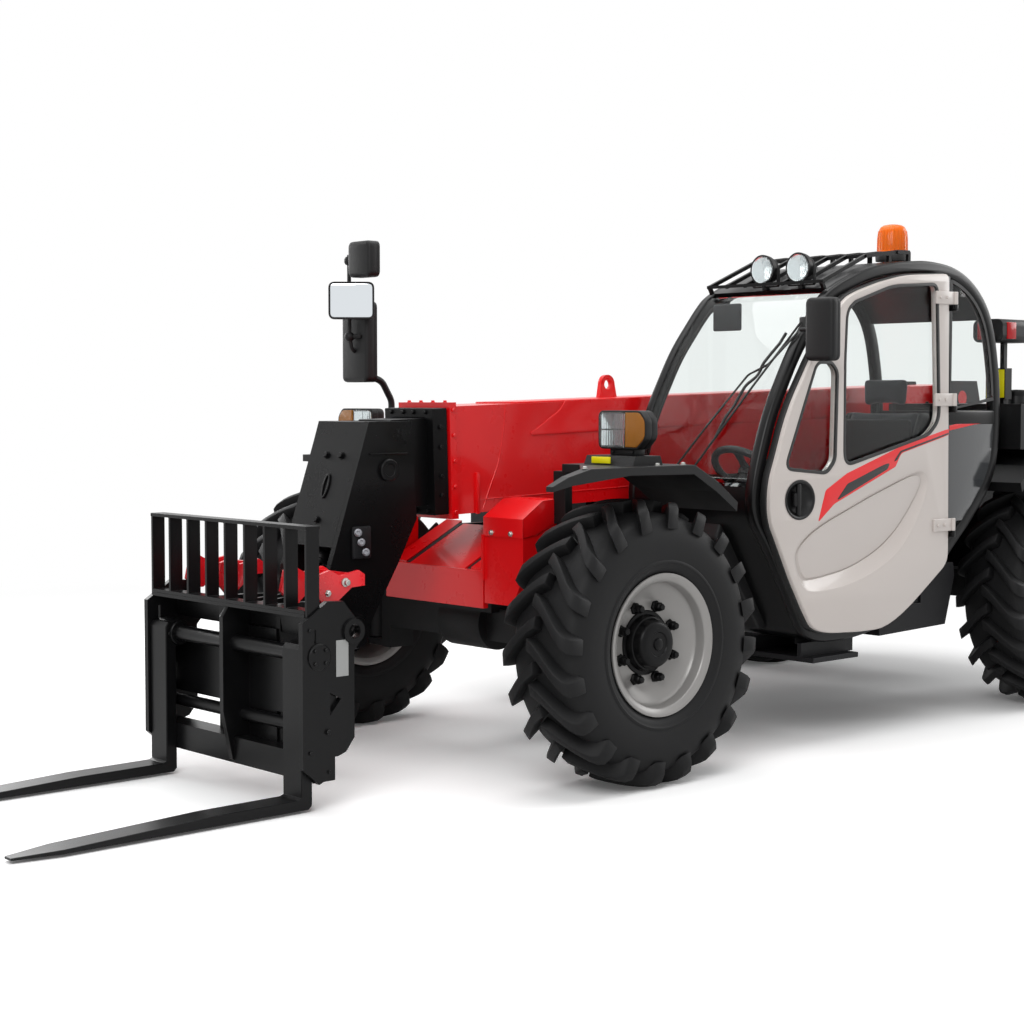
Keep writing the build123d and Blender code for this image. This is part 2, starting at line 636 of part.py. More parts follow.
def rear_left_cover():
    """Fixed cover behind the cab with a filler neck and the bracket of the rear lamp cluster."""
    cover = rear_cover(205, 900, 2300, REAR_Y - 110.3)
    neck = rod_z(760, 2480, 1324, 1360, 46)
    bracket = rod_x(770, 782, 2352, 1331, 6) + block(766, 786, 2340, 2364, 1324, 1590)
    box = block(700, 800, 2330, 2380, 1345, 1480)
    return cover + neck + bracket + box + block(735, 765, 2340, 2370, 1324, 1350)


out("rear_cover", rear_left_cover())


def rear_lamps():
    """Tail lamps on the rear beam and the cluster beside the cab's rear."""
    y = REAR_Y - 29.7
    cluster = fillet(block(700, 850, 2230, 2455, 1590.3, 1690).edges().filter_by(Axis.Y), 30)
    return both(block(700, 880, y, y + 22, 1080, 1170)) + [cluster]


out("rear_lamps", *rear_lamps())


# ------------------------------------------------------------------ boom
CZ = PIVOT_Z - BOOM_DROP


def pitch(shape):
    """Turn a level boom part to its slope about the rear pivot."""
    return Pos(0, PIVOT_Y, PIVOT_Z) * Rot(BOOM_PITCH, 0, 0) * Pos(0, -PIVOT_Y, -PIVOT_Z) * shape


def unpitch_point(y, z):
    """Level coordinates of a point given on the sloped boom."""
    a = radians(-BOOM_PITCH)
    dy, dz = y - PIVOT_Y, z - PIVOT_Z
    return PIVOT_Y + dy * cos(a) - dz * sin(a), PIVOT_Z + dy * sin(a) + dz * cos(a)


def boom_outer():
    """Base section with front collar, pivot tube and cylinder lugs."""
    tube = box_tube(OUTER_HW, OUTER_HH, -255, 3010, BOOM_WALL, CZ)
    collar = block(-150, 150, -268, -236, CZ - 215, CZ + 215) - block(
        -MID_HW - SLIDE_GAP, MID_HW + SLIDE_GAP, -280, -180, CZ - MID_HH - SLIDE_GAP, CZ + MID_HH + SLIDE_GAP)
    pivot = rod_x(-FRAME_X1, FRAME_X1, PIVOT_Y, PIVOT_Z, 35 - PIN_FIT)
    boss = rod_x(-160, 160, PIVOT_Y, PIVOT_Z, 60)
    ey, ez = unpitch_point(*LIFT_EYE)
    lug = plate_x(34, 54, [(ey - 130, CZ - OUTER_HH + 1), (ey + 130, CZ - OUTER_HH + 1), (ey + 40, ez - 40),
                           (ey - 40, ez - 40)])
    eye = plate_x(-10, 10, [(640, CZ + OUTER_HH - 1), (742, CZ + OUTER_HH - 1), (729, CZ + 262), (653, CZ + 262)])
    eye = (eye + rod_x(-10, 10, 691, CZ + 258, 39)) - rod_x(-40, 40, 691, CZ + 258, 20)
    slot = block(-66, 66, PIVOT_Y - 300, 3020, CZ - OUTER_HH - 5, CZ - OUTER_HH + BOOM_WALL + 5)
    return join([tube + collar - slot, (boss + pivot)] + both(lug) + [eye])


out("boom_outer", pitch(boom_outer()))


def boom_mid():
    """Middle section: tube, black front ring and rear wear band."""
    tube = box_tube(MID_HW, MID_HH, -340, 2560, 9, CZ)
    ring = block(-141, 141, -342, -275, CZ - 196, CZ + 196) - block(
        -INNER_HW - SLIDE_GAP, INNER_HW + SLIDE_GAP, -350, -260, CZ - INNER_HH - SLIDE_GAP,
        CZ + INNER_HH + SLIDE_GAP)
    band = block(-OUTER_HW + BOOM_WALL + SLIDE_GAP, OUTER_HW - BOOM_WALL - SLIDE_GAP, 2440, 2560,
                 CZ - OUTER_HH + BOOM_WALL + SLIDE_GAP, CZ + OUTER_HH - BOOM_WALL - SLIDE_GAP)
    band = band - block(-MID_HW + 1, MID_HW - 1, 2430, 2570, CZ - MID_HH + 1, CZ + MID_HH - 1)
    return join([tube, ring, band])


out("boom_mid", pitch(boom_mid()))


def boom_inner():
    """Inner section: tube and rear wear band."""
    tube = box_tube(INNER_HW, INNER_HH, -500, 2480, 9, CZ)
    band = block(-MID_HW + 9 + SLIDE_GAP, MID_HW - 9 - SLIDE_GAP, 2380, 2480, CZ - MID_HH + 9 + SLIDE_GAP,
                 CZ + MID_HH - 9 - SLIDE_GAP)
    band = band - block(-INNER_HW + 1, INNER_HW - 1, 2370, 2490, CZ - INNER_HH + 1, CZ + INNER_HH - 1)
    return join([tube, band])


out("boom_inner", pitch(boom_inner()))


def boom_head():
    """Goose-neck head: two side plates, slanted front plate, web, pins and bosses."""
    outline = [
        # y, z
        (-640, 1268), (-445, 1268), (-433, 1240), (-433, 1045), (-424, 915), (-500, 775), (-690, 462), (-745, 450),
        (-806, 478), (-838, 540), (-812, 757), (-661, 1203),
    ]
    side = plate_x(125, 150, outline)
    front = plate_x(-126, 126, [(-640, 1267), (-661, 1203), (-788, 829), (-775, 824), (-648, 1198), (-630, 1254),
                                (-530, 1254), (-530, 1267)])
    cheek = both(plate_x(INNER_HW + 0.3, 126, [(-530, 1262), (-445, 1262), (-445, 945), (-530, 945)]))
    cheek.append(block(-126, 126, -520, -500.3, 945, 1262))
    pin = rod_x(-215, 215, TILT_Y, TILT_Z, TILT_PIN_R)
    boss = both(ring_x(149, 162, TILT_Y, TILT_Z, 62, TILT_PIN_R))
    pin2 = rod_x(-150, 150, TILT_BASE[0], TILT_BASE[1], 20)
    boss = boss + both(rod_x(149, 158, -556, 1095, 40))
    web = plate_x(-126, 126, [(-520, 760), (-440, 902), (-460, 912), (-540, 770)])
    return join([side, mirror(side, about=Plane.YZ), front, pin, pin2, web] + cheek + boss)


out("boom_head", boom_head())


# ------------------------------------------------------------------ carriage
def carriage_frame():
    """Fork carriage: side plates, centre rib, hanger plates, shaft, rails and bosses."""
    side = [
        # y, z
        (-1173, 147), (-1173, 625), (-1072, 690), (-1008, 687), (-962, 632), (-926, 598), (-926, 566), (-965, 520),
        (-965, 233), (-1000, 188), (-1033, 177), (-1048, 177), (-1048, 122), (-1108, 92),
    ]
    eye = rod_x(400, 520, EYE_Y, EYE_Z, EYE_R)
    slot = block(400, 520, -1127, -1119, 556, 602)
    window = plate_x(400, 520, [(-1064, 390), (-1020, 366), (-1064, 316)])
    plate = plate_x(468, 490, side) + ring_x(489, 500, EYE_Y, EYE_Z, EYE_R + 18, EYE_R - 4) - eye - slot - window
    sides = both(plate)
    hanger = [(-1050, 130), (-1050, 655), (-960, 655), (-840, 650), (-700, 590), (-690, 520), (-752, 472),
              (-860, 440), (-990, 130)]
    hangers = both(plate_x(163, 188, hanger) - rod_x(100, 300, TILT_Y, TILT_Z, TILT_PIN_R + PIN_FIT))
    shaft = rod_x(-497, 497, SHAFT_Y, SHAFT_Z, SHAFT_R)
    rail = block(-475, 475, -1120.7, -1034, 96, 186)
    bar = rod_x(-475, 475, -1075, 262, 22)
    top = plate_x(-467.7, 467.7, [(-1150, 652), (-1040, 652), (-1030, 560), (-1044, 560), (-1053, 640), (-1150, 640)])
    back = block(-475, 475, -1058, -1030, 290, 480)
    spine = block(-175, 175, -1058, -1030, 170, 570)
    rib = plate_x(-11, 11, [(-1165, 279), (-1165, 604), (-1137, 645), (-1040, 645), (-1040, 120), (-1110, 99),
                            (-1128, 110)])
    ey, ez = TILT_EYE
    lug = [(-1040, 560), (-1040, 650), (ey - 20, ez + 42), (ey + 30, ez + 32), (ey + 40, ez - 20), (ey, ez - 40)]
    lugs = both(plate_x(31, 49, lug))
    return join(sides + hangers + [shaft, rail, bar, top, back, spine, rib] + lugs)


out("carriage_frame", carriage_frame())


def backrest():
    """Load backrest: flat upright bars with a flat top rail, on the carriage's top plate."""
    parts = [block(-480, 480, -1150, -1095, 926, 938), block(-467.7, 467.7, -1150, -1095, 652.3, 664)]
    count = 9
    for i in range(count):
        x = -474 + 948 * i / (count - 1)
        foot = [(-1148, 641.4), (-1098, 673.6)] if i in (0, count - 1) else [(-1148, 660), (-1098, 660)]
        parts.append(plate_x(x - 6, x + 6, foot + [(-1098, 930), (-1148, 930)]))
    return join(parts)


out("load_backrest", backrest())


def coupler_hooks():
    """Two forked hooks of the quick coupler over the carriage's top."""
    outline = [
        # y, z
        (-1056, 700), (-1040, 770), (-1000, 782), (-960, 760), (-880, 775), (-856, 760), (-856, 722), (-910, 719),
        (-985, 655.3), (-1020, 660),
    ]
    result = []
    inner = plate_x(188.3, 203, outline)
    outer = plate_x(392, 406, [(y, max(z, 665)) for y, z in outline])
    web = plate_x(200, 395, [(-900, 764), (-862, 760), (-862, 748), (-900, 752)])
    foot = block(188.3, 203, -1020, -980, 655.3, 690)
    pin = rod_x(189, 412, -940, 738, 12)
    return both(inner + outer + web + pin + foot)


out("coupler_hooks", *coupler_hooks())


def forks():
    """Two L forks hung on the shaft."""
    result = []
    for side in (1, -1):
        xc = side * FORK_X
        x0, x1 = xc - FORK_W / 2, xc + FORK_W / 2
        profile = [
            # y, z
            (FORK_TIP_Y, 18), (FORK_TIP_Y, 10), (FORK_FACE_Y + 30, 10), (FORK_FACE_Y + FORK_T, 22),
            (FORK_FACE_Y + FORK_T, 520), (FORK_FACE_Y + 50, 552), (FORK_FACE_Y + 10, 552), (FORK_FACE_Y, 535),
            (FORK_FACE_Y, 52), (FORK_FACE_Y - 14, 46), (-1500, 44),
        ]
        arm = plate_x(x0, x1, profile) + rod_x(x0, x1, SHAFT_Y, SHAFT_Z, 48)
        arm = arm - rod_x(x0 - 5, x1 + 5, SHAFT_Y, SHAFT_Z, SHAFT_R + 0.3)
        taper = [(x0 - 1, FORK_TIP_Y - 1), (x0 + 30, FORK_TIP_Y - 1), (x0 - 1, FORK_TIP_Y + 160)]
        taper2 = [(x1 + 1, FORK_TIP_Y - 1), (x1 - 30, FORK_TIP_Y - 1), (x1 + 1, FORK_TIP_Y + 160)]
        arm = arm - plate_z(0, 60, taper) - plate_z(0, 60, taper2)
        result.append(arm)
    return result


out("forks", *forks())

# ------------------------------------------------------------------ cylinders
def cylinder(base, eye, bore_r, rod_r, eye_w, eye_r, gland, spare):
    """Barrel and rod between two pins in a YZ plane at X = 0; spare is the travel left at the bore's end."""
    by, bz = base
    ey, ez = eye
    length = hypot(ey - by, ez - bz)
    uy, uz = (ey - by) / length, (ez - bz) / length

    def along(t):
        return (0.0, by + uy * t, bz + uz * t)

    mouth = length - gland
    floor = eye_r * 1.6
    barrel = rod(along(eye_r * 0.6), along(mouth), bore_r) - rod(along(floor), along(mouth + 5), rod_r + 0.3)
    barrel = barrel + rod_x(-eye_w / 2, eye_w / 2, by, bz, eye_r)
    rod_body = rod(along(floor + spare), along(length - eye_r * 0.6), rod_r)
    rod_body = rod_body + rod_x(-eye_w / 2, eye_w / 2, ey, ez, eye_r)
    return barrel, rod_body


lift_barrel, lift_rod = cylinder(LIFT_BASE, LIFT_EYE, 55, 30, 60, 44, 150, 12)
lift_barrel = lift_barrel - rod_x(-200, 200, LIFT_BASE[0], LIFT_BASE[1], 24 + PIN_FIT)
out("lift_barrel", lift_barrel)
out("lift_rod", lift_rod)
tilt_barrel, tilt_rod = cylinder(TILT_BASE, TILT_EYE, 36, 20, 56, 32, 170, 40)
tilt_barrel = tilt_barrel - rod_x(-200, 200, TILT_BASE[0], TILT_BASE[1], 20 + PIN_FIT)
out("tilt_barrel", tilt_barrel)
out("tilt_rod", tilt_rod)
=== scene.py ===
import math

import bmesh
import bpy
from mathutils import Matrix, Vector


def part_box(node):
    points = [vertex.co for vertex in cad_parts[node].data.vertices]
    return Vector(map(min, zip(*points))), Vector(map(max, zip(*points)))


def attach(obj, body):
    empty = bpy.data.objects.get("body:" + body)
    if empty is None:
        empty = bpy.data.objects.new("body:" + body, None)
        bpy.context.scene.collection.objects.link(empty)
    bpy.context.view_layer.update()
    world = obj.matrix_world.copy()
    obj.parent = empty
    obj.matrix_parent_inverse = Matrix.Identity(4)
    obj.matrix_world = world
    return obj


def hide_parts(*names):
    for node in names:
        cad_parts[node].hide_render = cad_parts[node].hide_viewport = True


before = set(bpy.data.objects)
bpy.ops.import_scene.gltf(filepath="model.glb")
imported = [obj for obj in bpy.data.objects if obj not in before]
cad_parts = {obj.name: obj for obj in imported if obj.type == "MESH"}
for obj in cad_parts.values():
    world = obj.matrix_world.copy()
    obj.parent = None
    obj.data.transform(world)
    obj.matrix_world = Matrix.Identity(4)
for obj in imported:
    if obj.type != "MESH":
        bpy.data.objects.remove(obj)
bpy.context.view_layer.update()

# ------------------------------------------------------------------ camera
# The view of the machine from ahead of its cab side, near the height of the driver's seat.
cad_lo, cad_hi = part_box("tyre_front_left")
front_axle = (cad_lo + cad_hi) / 2
cad_lo, cad_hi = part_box("tyre_rear_left")
rear_axle = (cad_lo + cad_hi) / 2
camera = bpy.data.objects.new("camera", bpy.data.cameras.new("camera"))
bpy.context.collection.objects.link(camera)
bpy.context.scene.camera = camera
bpy.context.scene.view_settings.view_transform = "Standard"
camera.data.sensor_width = 36.0
camera.data.lens = 65.06
camera.data.shift_y = -0.019
camera.data.clip_end = 200.0
# metres to the left of the mid-plane, ahead of the front axle and above the ground; degrees down and round
camera_left, camera_ahead, camera_up = 5.356, 4.632, 1.357
camera_dip, camera_round = 2.97, 48.10
camera.location = (camera_left, front_axle.y - camera_ahead, camera_up)
camera.rotation_euler = (math.radians(90 - camera_dip), 0.0, math.radians(camera_round))

# ------------------------------------------------------------------ studio floor and light
# A plain pale studio floor in a white surround, and large soft boxes over and ahead of the machine.
# The surround is white to the eye, in reflections and through the panes; the lamps alone set the light.


def linear(code):
    """A written sRGB colour as the linear numbers that a shader takes."""
    parts = [int(code[i:i + 2], 16) / 255 for i in (1, 3, 5)]
    return tuple(c / 12.92 if c <= 0.04045 else ((c + 0.055) / 1.055) ** 2.4 for c in parts) + (1.0,)


def add(tree, kind, settings=None, links=None):
    """A node with its settings and input values, linked from (node, output) pairs."""
    made = tree.nodes.new(kind)
    for key, value in (settings or {}).items():
        if isinstance(key, str) and hasattr(made, key):
            setattr(made, key, value)
        else:
            made.inputs[key].default_value = value
    for key, (source, output) in (links or {}).items():
        tree.links.new(source.outputs[output], made.inputs[key])
    return made


def new_material(name):
    """An empty node material and its tree."""
    material = bpy.data.materials.new(name)
    material.use_nodes = True
    material.node_tree.nodes.clear()
    return material, material.node_tree


def noise(tree, place, scale, detail, rough=0.5):
    """Noise laid on a piece's own coordinates."""
    return add(tree, "ShaderNodeTexNoise", {"Scale": scale, "Detail": detail, "Roughness": rough},
               {"Vector": (place, "Object")})


def ranged(tree, source, to_min, to_max, from_min=0.0, from_max=1.0):
    """A (node, output) value carried from one range to another."""
    return add(tree, "ShaderNodeMapRange",
               {"From Min": from_min, "From Max": from_max, "To Min": to_min, "To Max": to_max}, {"Value": source})


def product(tree, one, other):
    """Two (node, output) values multiplied."""
    return add(tree, "ShaderNodeMath", {"operation": "MULTIPLY"}, {0: one, 1: other})


def bumped(tree, source, strength, distance):
    """A (node, output) height as relief, its distance in metres."""
    return add(tree, "ShaderNodeBump", {"Strength": strength, "Distance": distance}, {"Height": source})


def white_seen(tree, path):
    """One for each ray that should meet the white surround: seen straight, in gloss or through glass."""
    seen = add(tree, "ShaderNodeMath", {"operation": "MAXIMUM"},
               {0: (path, "Is Camera Ray"), 1: (path, "Is Glossy Ray")})
    return add(tree, "ShaderNodeMath", {"operation": "MAXIMUM"}, {0: (seen, 0), 1: (path, "Is Transmission Ray")})


world = bpy.data.worlds.new("studio")
bpy.context.scene.world = world
world.use_nodes = True
tree = world.node_tree
tree.nodes.clear()
path = add(tree, "ShaderNodeLightPath")
seen = white_seen(tree, path)
level = ranged(tree, (seen, 0), 0.42, 1.0)
white_light = (1.0, 1.0, 1.0, 1.0)
back = add(tree, "ShaderNodeBackground", {"Color": white_light}, {"Strength": (level, 0)})
add(tree, "ShaderNodeOutputWorld", links={"Surface": (back, 0)})

for name, place, size, power, turn in (
    # name, place, size, watts, rotation in degrees
    ("key_box", (3.6, -5.2, 4.6), 3.2, 190.0, (48, 0, 32)),
    ("top_box", (0.0, 0.2, 5.2), 5.0, 190.0, (0, 0, 0)),
    ("side_box", (-5.5, -1.0, 3.0), 3.0, 120.0, (0, -65, 0)),
    ("rear_box", (2.5, 6.0, 3.4), 3.0, 110.0, (-62, 0, -18)),
):
    lamp = bpy.data.lights.new(name, "AREA")
    lamp.size = size
    lamp.energy = power
    lamp_object = bpy.data.objects.new(name, lamp)
    lamp_object.location = place
    lamp_object.rotation_euler = [math.radians(a) for a in turn]
    bpy.context.collection.objects.link(lamp_object)

floor_mesh = bpy.data.meshes.new("studio_floor")
floor_mesh.from_pydata([(-40, -40, 0), (40, -40, 0), (40, 40, 0), (-40, 40, 0)], [], [(0, 1, 2, 3)])
studio_floor = bpy.data.objects.new("studio_floor", floor_mesh)
bpy.context.collection.objects.link(studio_floor)
floor_paint, tree = new_material("matt_white_floor")
path = add(tree, "ShaderNodeLightPath")
place = add(tree, "ShaderNodeTexCoord")
grain = noise(tree, place, 6.0, 2.0)
tone = ranged(tree, (grain, 0), 0.90, 0.93)
shown = ranged(tree, (path, "Is Camera Ray"), 1.0, 1.22)
tone = product(tree, (tone, 0), (shown, 0))
matt = add(tree, "ShaderNodeBsdfDiffuse", links={"Color": (tone, 0)})
glow = add(tree, "ShaderNodeMath", {"operation": "MULTIPLY", 1: 0.06}, {0: (path, "Is Camera Ray")})
lift = add(tree, "ShaderNodeEmission", {"Color": white_light}, {"Strength": (glow, 0)})
near = add(tree, "ShaderNodeAddShader", links={0: (matt, 0), 1: (lift, 0)})
reach = add(tree, "ShaderNodeVectorMath", {"operation": "LENGTH"}, {0: (place, "Object")})
away = add(tree, "ShaderNodeMapRange", {"interpolation_type": "SMOOTHSTEP", "From Min": 2.6, "From Max": 7.0},
           {"Value": (reach, "Value")})
seen = white_seen(tree, path)
fade = product(tree, (away, 0), (seen, 0))
white = add(tree, "ShaderNodeEmission", {"Color": white_light, "Strength": 1.0})
lit_floor = add(tree, "ShaderNodeMixShader", links={0: (fade, 0), 1: (near, 0), 2: (white, 0)})
add(tree, "ShaderNodeOutputMaterial", links={"Surface": (lit_floor, 0)})
floor_mesh.materials.append(floor_paint)

# ------------------------------------------------------------------ tyres
# Tubeless rubber tyres with chevron lugs, moulded in one piece; each lug runs from the middle to the shoulder.
# The compound is near black, matt, with a faint moulded grain and a greyer bloom in soft patches.


def gather(name, meshes, angle=32.0):
    """One mesh from several, smooth but for its edges sharper than an angle in degrees."""
    bm = bmesh.new()
    for mesh in meshes:
        bm.from_mesh(mesh)
    bmesh.ops.remove_doubles(bm, verts=bm.verts, dist=0.000005)
    bmesh.ops.recalc_face_normals(bm, faces=bm.faces)
    whole = bpy.data.meshes.new(name)
    bm.to_mesh(whole)
    bm.free()
    whole.shade_smooth()
    whole.set_sharp_from_angle(angle=math.radians(angle))
    return whole


def turned(profile, steps, centre=Vector(), side=1):
    """A lathe-turned form about an X axis from (x, radius) in millimetres; side -1 mirrors it."""
    closed = profile[0][1] > 0 or profile[-1][1] > 0
    verts, faces = [], []
    for i in range(steps):
        a = 2 * math.pi * i / steps
        for x, r in profile:
            verts.append(centre + Vector((side * x, r * math.cos(a), r * math.sin(a))) / 1000)
    n = len(profile)
    for i in range(steps):
        j = (i + 1) % steps
        for k in range(n if closed else n - 1):
            m = (k + 1) % n
            faces.append((i * n + k, i * n + m, j * n + m, j * n + k))
    mesh = bpy.data.meshes.new("turned")
    mesh.from_pydata(verts, [], faces)
    return mesh


def lofted(rings, first_cap=True, last_cap=True):
    """A skin through rings of corner points in millimetres that have the same count, with or without end faces."""
    n = len(rings[0])
    verts = [Vector(p) / 1000 for ring in rings for p in ring]
    faces = []
    for i in range(len(rings) - 1):
        for k in range(n):
            m = (k + 1) % n
            faces.append((i * n + k, i * n + m, (i + 1) * n + m, (i + 1) * n + k))
    if first_cap:
        faces.append(tuple(range(n))[::-1])
    if last_cap:
        faces.append(tuple(range(len(verts) - n, len(verts))))
    mesh = bpy.data.meshes.new("lofted")
    mesh.from_pydata(verts, [], faces)
    return mesh


def softened(mesh, width, segments=2, angle=30.0):
    """The mesh with its sharp edges rounded, width in millimetres."""
    bm = bmesh.new()
    bm.from_mesh(mesh)
    bmesh.ops.recalc_face_normals(bm, faces=bm.faces)
    edges = [e for e in bm.edges if e.is_manifold and e.calc_face_angle(0) > math.radians(angle)]
    bmesh.ops.bevel(bm, geom=edges, offset=width / 1000, segments=segments, profile=0.5, affect="EDGES",
                    clamp_overlap=True)
    bm.to_mesh(mesh)
    bm.free()
    return mesh


def evaluated(maker):
    """The plain mesh of an object as its curve settings or modifiers leave it."""
    bpy.context.view_layer.update()
    return bpy.data.meshes.new_from_object(maker.evaluated_get(bpy.context.evaluated_depsgraph_get()))


def copies_tree():
    """Geometry Nodes: a piece repeated by a step and a turn about the origin."""
    tree = bpy.data.node_groups.new("repeated_piece", "GeometryNodeTree")
    for name, kind in (("Geometry", "Geometry"), ("Count", "Int"), ("Step", "Vector"), ("Turn", "Vector"),
                       ("Material", "Material")):
        tree.interface.new_socket(name, in_out="INPUT", socket_type="NodeSocket" + kind)
    tree.interface.new_socket("Geometry", in_out="OUTPUT", socket_type="NodeSocketGeometry")
    given = add(tree, "NodeGroupInput")
    index = add(tree, "GeometryNodeInputIndex")
    move = add(tree, "ShaderNodeVectorMath", {"operation": "SCALE"}, {"Vector": (given, "Step"), "Scale": (index, 0)})
    turn = add(tree, "ShaderNodeVectorMath", {"operation": "SCALE"}, {"Vector": (given, "Turn"), "Scale": (index, 0)})
    points = add(tree, "GeometryNodePoints", links={"Count": (given, "Count"), "Position": (move, 0)})
    placed = add(tree, "GeometryNodeInstanceOnPoints",
                 links={"Points": (points, 0), "Instance": (given, "Geometry"), "Rotation": (turn, 0)})
    real = add(tree, "GeometryNodeRealizeInstances", links={0: (placed, 0)})
    finish = add(tree, "GeometryNodeSetMaterial", links={"Geometry": (real, 0), "Material": (given, "Material")})
    add(tree, "NodeGroupOutput", links={0: (finish, 0)})
    return tree


repeated_piece = copies_tree()


def repeated(mesh, material, count, step=(0, 0, 0), turn=(0, 0, 0), about=Vector()):
    """Copies of a mesh, each moved by step in millimetres and turned in degrees about a point."""
    drawn = mesh.copy()
    drawn.transform(Matrix.Translation(-about))
    maker = bpy.data.objects.new("maker", drawn)
    bpy.context.collection.objects.link(maker)
    modifier = maker.modifiers.new("copies", "NODES")
    modifier.node_group = repeated_piece
    values = {"Count": count, "Step": [s / 1000 for s in step], "Turn": [math.radians(t) for t in turn],
              "Material": material}
    for item in repeated_piece.interface.items_tree:
        if item.in_out == "INPUT" and item.name in values:
            modifier[item.identifier] = values[item.name]
    made = evaluated(maker)
    bpy.data.objects.remove(maker)
    made.transform(Matrix.Translation(about))
    made.materials.clear()
    return made


def fitted(name, mesh, body, material, slot, *replaced):
    """A finished piece on its body, in place of the CAD nodes named last."""
    mesh.materials.clear()
    mesh.materials.append(material)
    for face in mesh.polygons:
        face.material_index = 0
    made = bpy.data.objects.new(name, mesh)
    bpy.context.collection.objects.link(made)
    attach(made, body)
    if replaced:
        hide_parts(*replaced)
    return made


tyre_rubber, tree = new_material("tyre_rubber")
place = add(tree, "ShaderNodeTexCoord")
bloom = noise(tree, place, 7.0, 6.0, 0.65)
tone = add(tree, "ShaderNodeMixRGB", {1: linear("#0D0D0E"), 2: linear("#171718")}, {0: (bloom, 0)})
dull = ranged(tree, (bloom, 0), 0.50, 0.68)
grain = noise(tree, place, 420.0, 2.0)
bump = bumped(tree, (grain, 0), 0.12, 0.002)
skin = add(tree, "ShaderNodeBsdfPrincipled", {"Specular IOR Level": 0.22},
           {"Base Color": (tone, 0), "Roughness": (dull, 0), "Normal": (bump, 0)})
add(tree, "ShaderNodeOutputMaterial", links={"Surface": (skin, 0)})

tyre_half = [
    # x, radius of the side wall and half of the crown, from the bead out
    (98, 229.6), (128, 233), (134, 243), (141, 252), (150, 266), (156, 276), (157, 283), (160, 286), (160.5, 292),
    (158, 296), (160, 306), (162, 330), (162.6, 356), (160, 384), (154, 404), (146, 422), (138, 434), (124, 444),
    (100, 451), (60, 456), (20, 457),
]
lug_stations = (
    # x, angle of its middle, half width at the tip and at the root in degrees, tip and root radius
    (-16, -3.6, 2.4, 3.3, 498.6, 450),
    (14, -1.6, 2.3, 3.3, 499.2, 450),
    (48, 1.6, 2.2, 3.3, 499.0, 449),
    (84, 5.6, 2.3, 3.4, 497.6, 446),
    (116, 9.4, 2.5, 3.5, 495.0, 440),
    (140, 12.0, 2.8, 3.8, 489.0, 424),
    (156, 13.4, 3.0, 4.0, 476.0, 410),
    (163.0, 14.2, 3.0, 3.8, 448.0, 402),
)
lugs_a_side = 20
rings = []
for x, a, tip, root, r_tip, r_root in lug_stations:
    rings.append([(x, -r * math.sin(math.radians(a + d)), r * math.cos(math.radians(a + d)))
                  for d, r in ((-root, r_root), (-tip, r_tip), (tip, r_tip), (root, r_root))])
lug = softened(lofted(rings), 4.0, 2, 40.0)
lug_mirrored = lug.copy()
lug_mirrored.transform(Matrix.Rotation(math.radians(180 / lugs_a_side), 4, "X") @ Matrix.Scale(-1, 4, (1, 0, 0)))
crown = turned(tyre_half + [(-x, r) for x, r in reversed(tyre_half)], 120)
tread = [repeated(one, tyre_rubber, lugs_a_side, turn=(360 / lugs_a_side, 0, 0)) for one in (lug, lug_mirrored)]
tyre_mesh = gather("tyre", [crown] + tread, 38.0)
wheels = [
    # tag, side, place of the wheel's middle
    (f"{end}_{hand}", side, Vector((side * axle.x, axle.y, axle.z)))
    for end, axle in (("front", front_axle), ("rear", rear_axle)) for hand, side in (("left", 1), ("right", -1))
]


def on_wheel(mesh, side, middle):
    """A wheel piece drawn about the origin, mirrored for the right side and set on its axle."""
    placed = mesh.copy()
    placed.transform(Matrix.Translation(middle) @ Matrix.Scale(side, 4, (1, 0, 0)))
    if side < 0:
        placed.flip_normals()
    return placed


for tag, side, middle in wheels:
    fitted("tyre_" + tag + "_rubber", on_wheel(tyre_mesh, side, middle), "wheel_" + tag, tyre_rubber, "tyre",
           "tyre_" + tag)

# ------------------------------------------------------------------ wheel rims
# Pressed steel discs welded in rolled rims, sprayed silver, held to the hub by black coned nuts.
# The silver is a satin enamel with a little metal in it; hub caps and nuts are satin black.


def painted(name, colour, rough, coat=0.0, peel=0.0016, depth=0.03, cloud=0.03, metal=0.0, specular=0.5):
    """Sprayed or powder-coated steel: peel is its grain in metres, cloud the drift of its tone over a panel."""
    material, tree = new_material(name)
    place = add(tree, "ShaderNodeTexCoord")
    drift = noise(tree, place, 2.3, 4.0)
    spread = ranged(tree, (drift, 0), 1.0 - cloud, 1.0 + cloud)
    tint = add(tree, "ShaderNodeHueSaturation", {"Color": linear(colour)}, {"Value": (spread, 0)})
    smear = noise(tree, place, 9.0, 6.0, 0.6)
    dull = ranged(tree, (smear, 0), rough * 0.93, rough * 1.12, 0.3, 0.75)
    grain = noise(tree, place, 1.0 / peel, 1.0)
    bump = bumped(tree, (grain, 0), depth, peel)
    skin = add(tree, "ShaderNodeBsdfPrincipled",
               {"Metallic": metal, "Coat Weight": coat, "Coat Roughness": 0.08, "Specular IOR Level": specular},
               {"Base Color": (tint, 0), "Roughness": (dull, 0), "Normal": (bump, 0)})
    add(tree, "ShaderNodeOutputMaterial", links={"Surface": (skin, 0)})
    return material


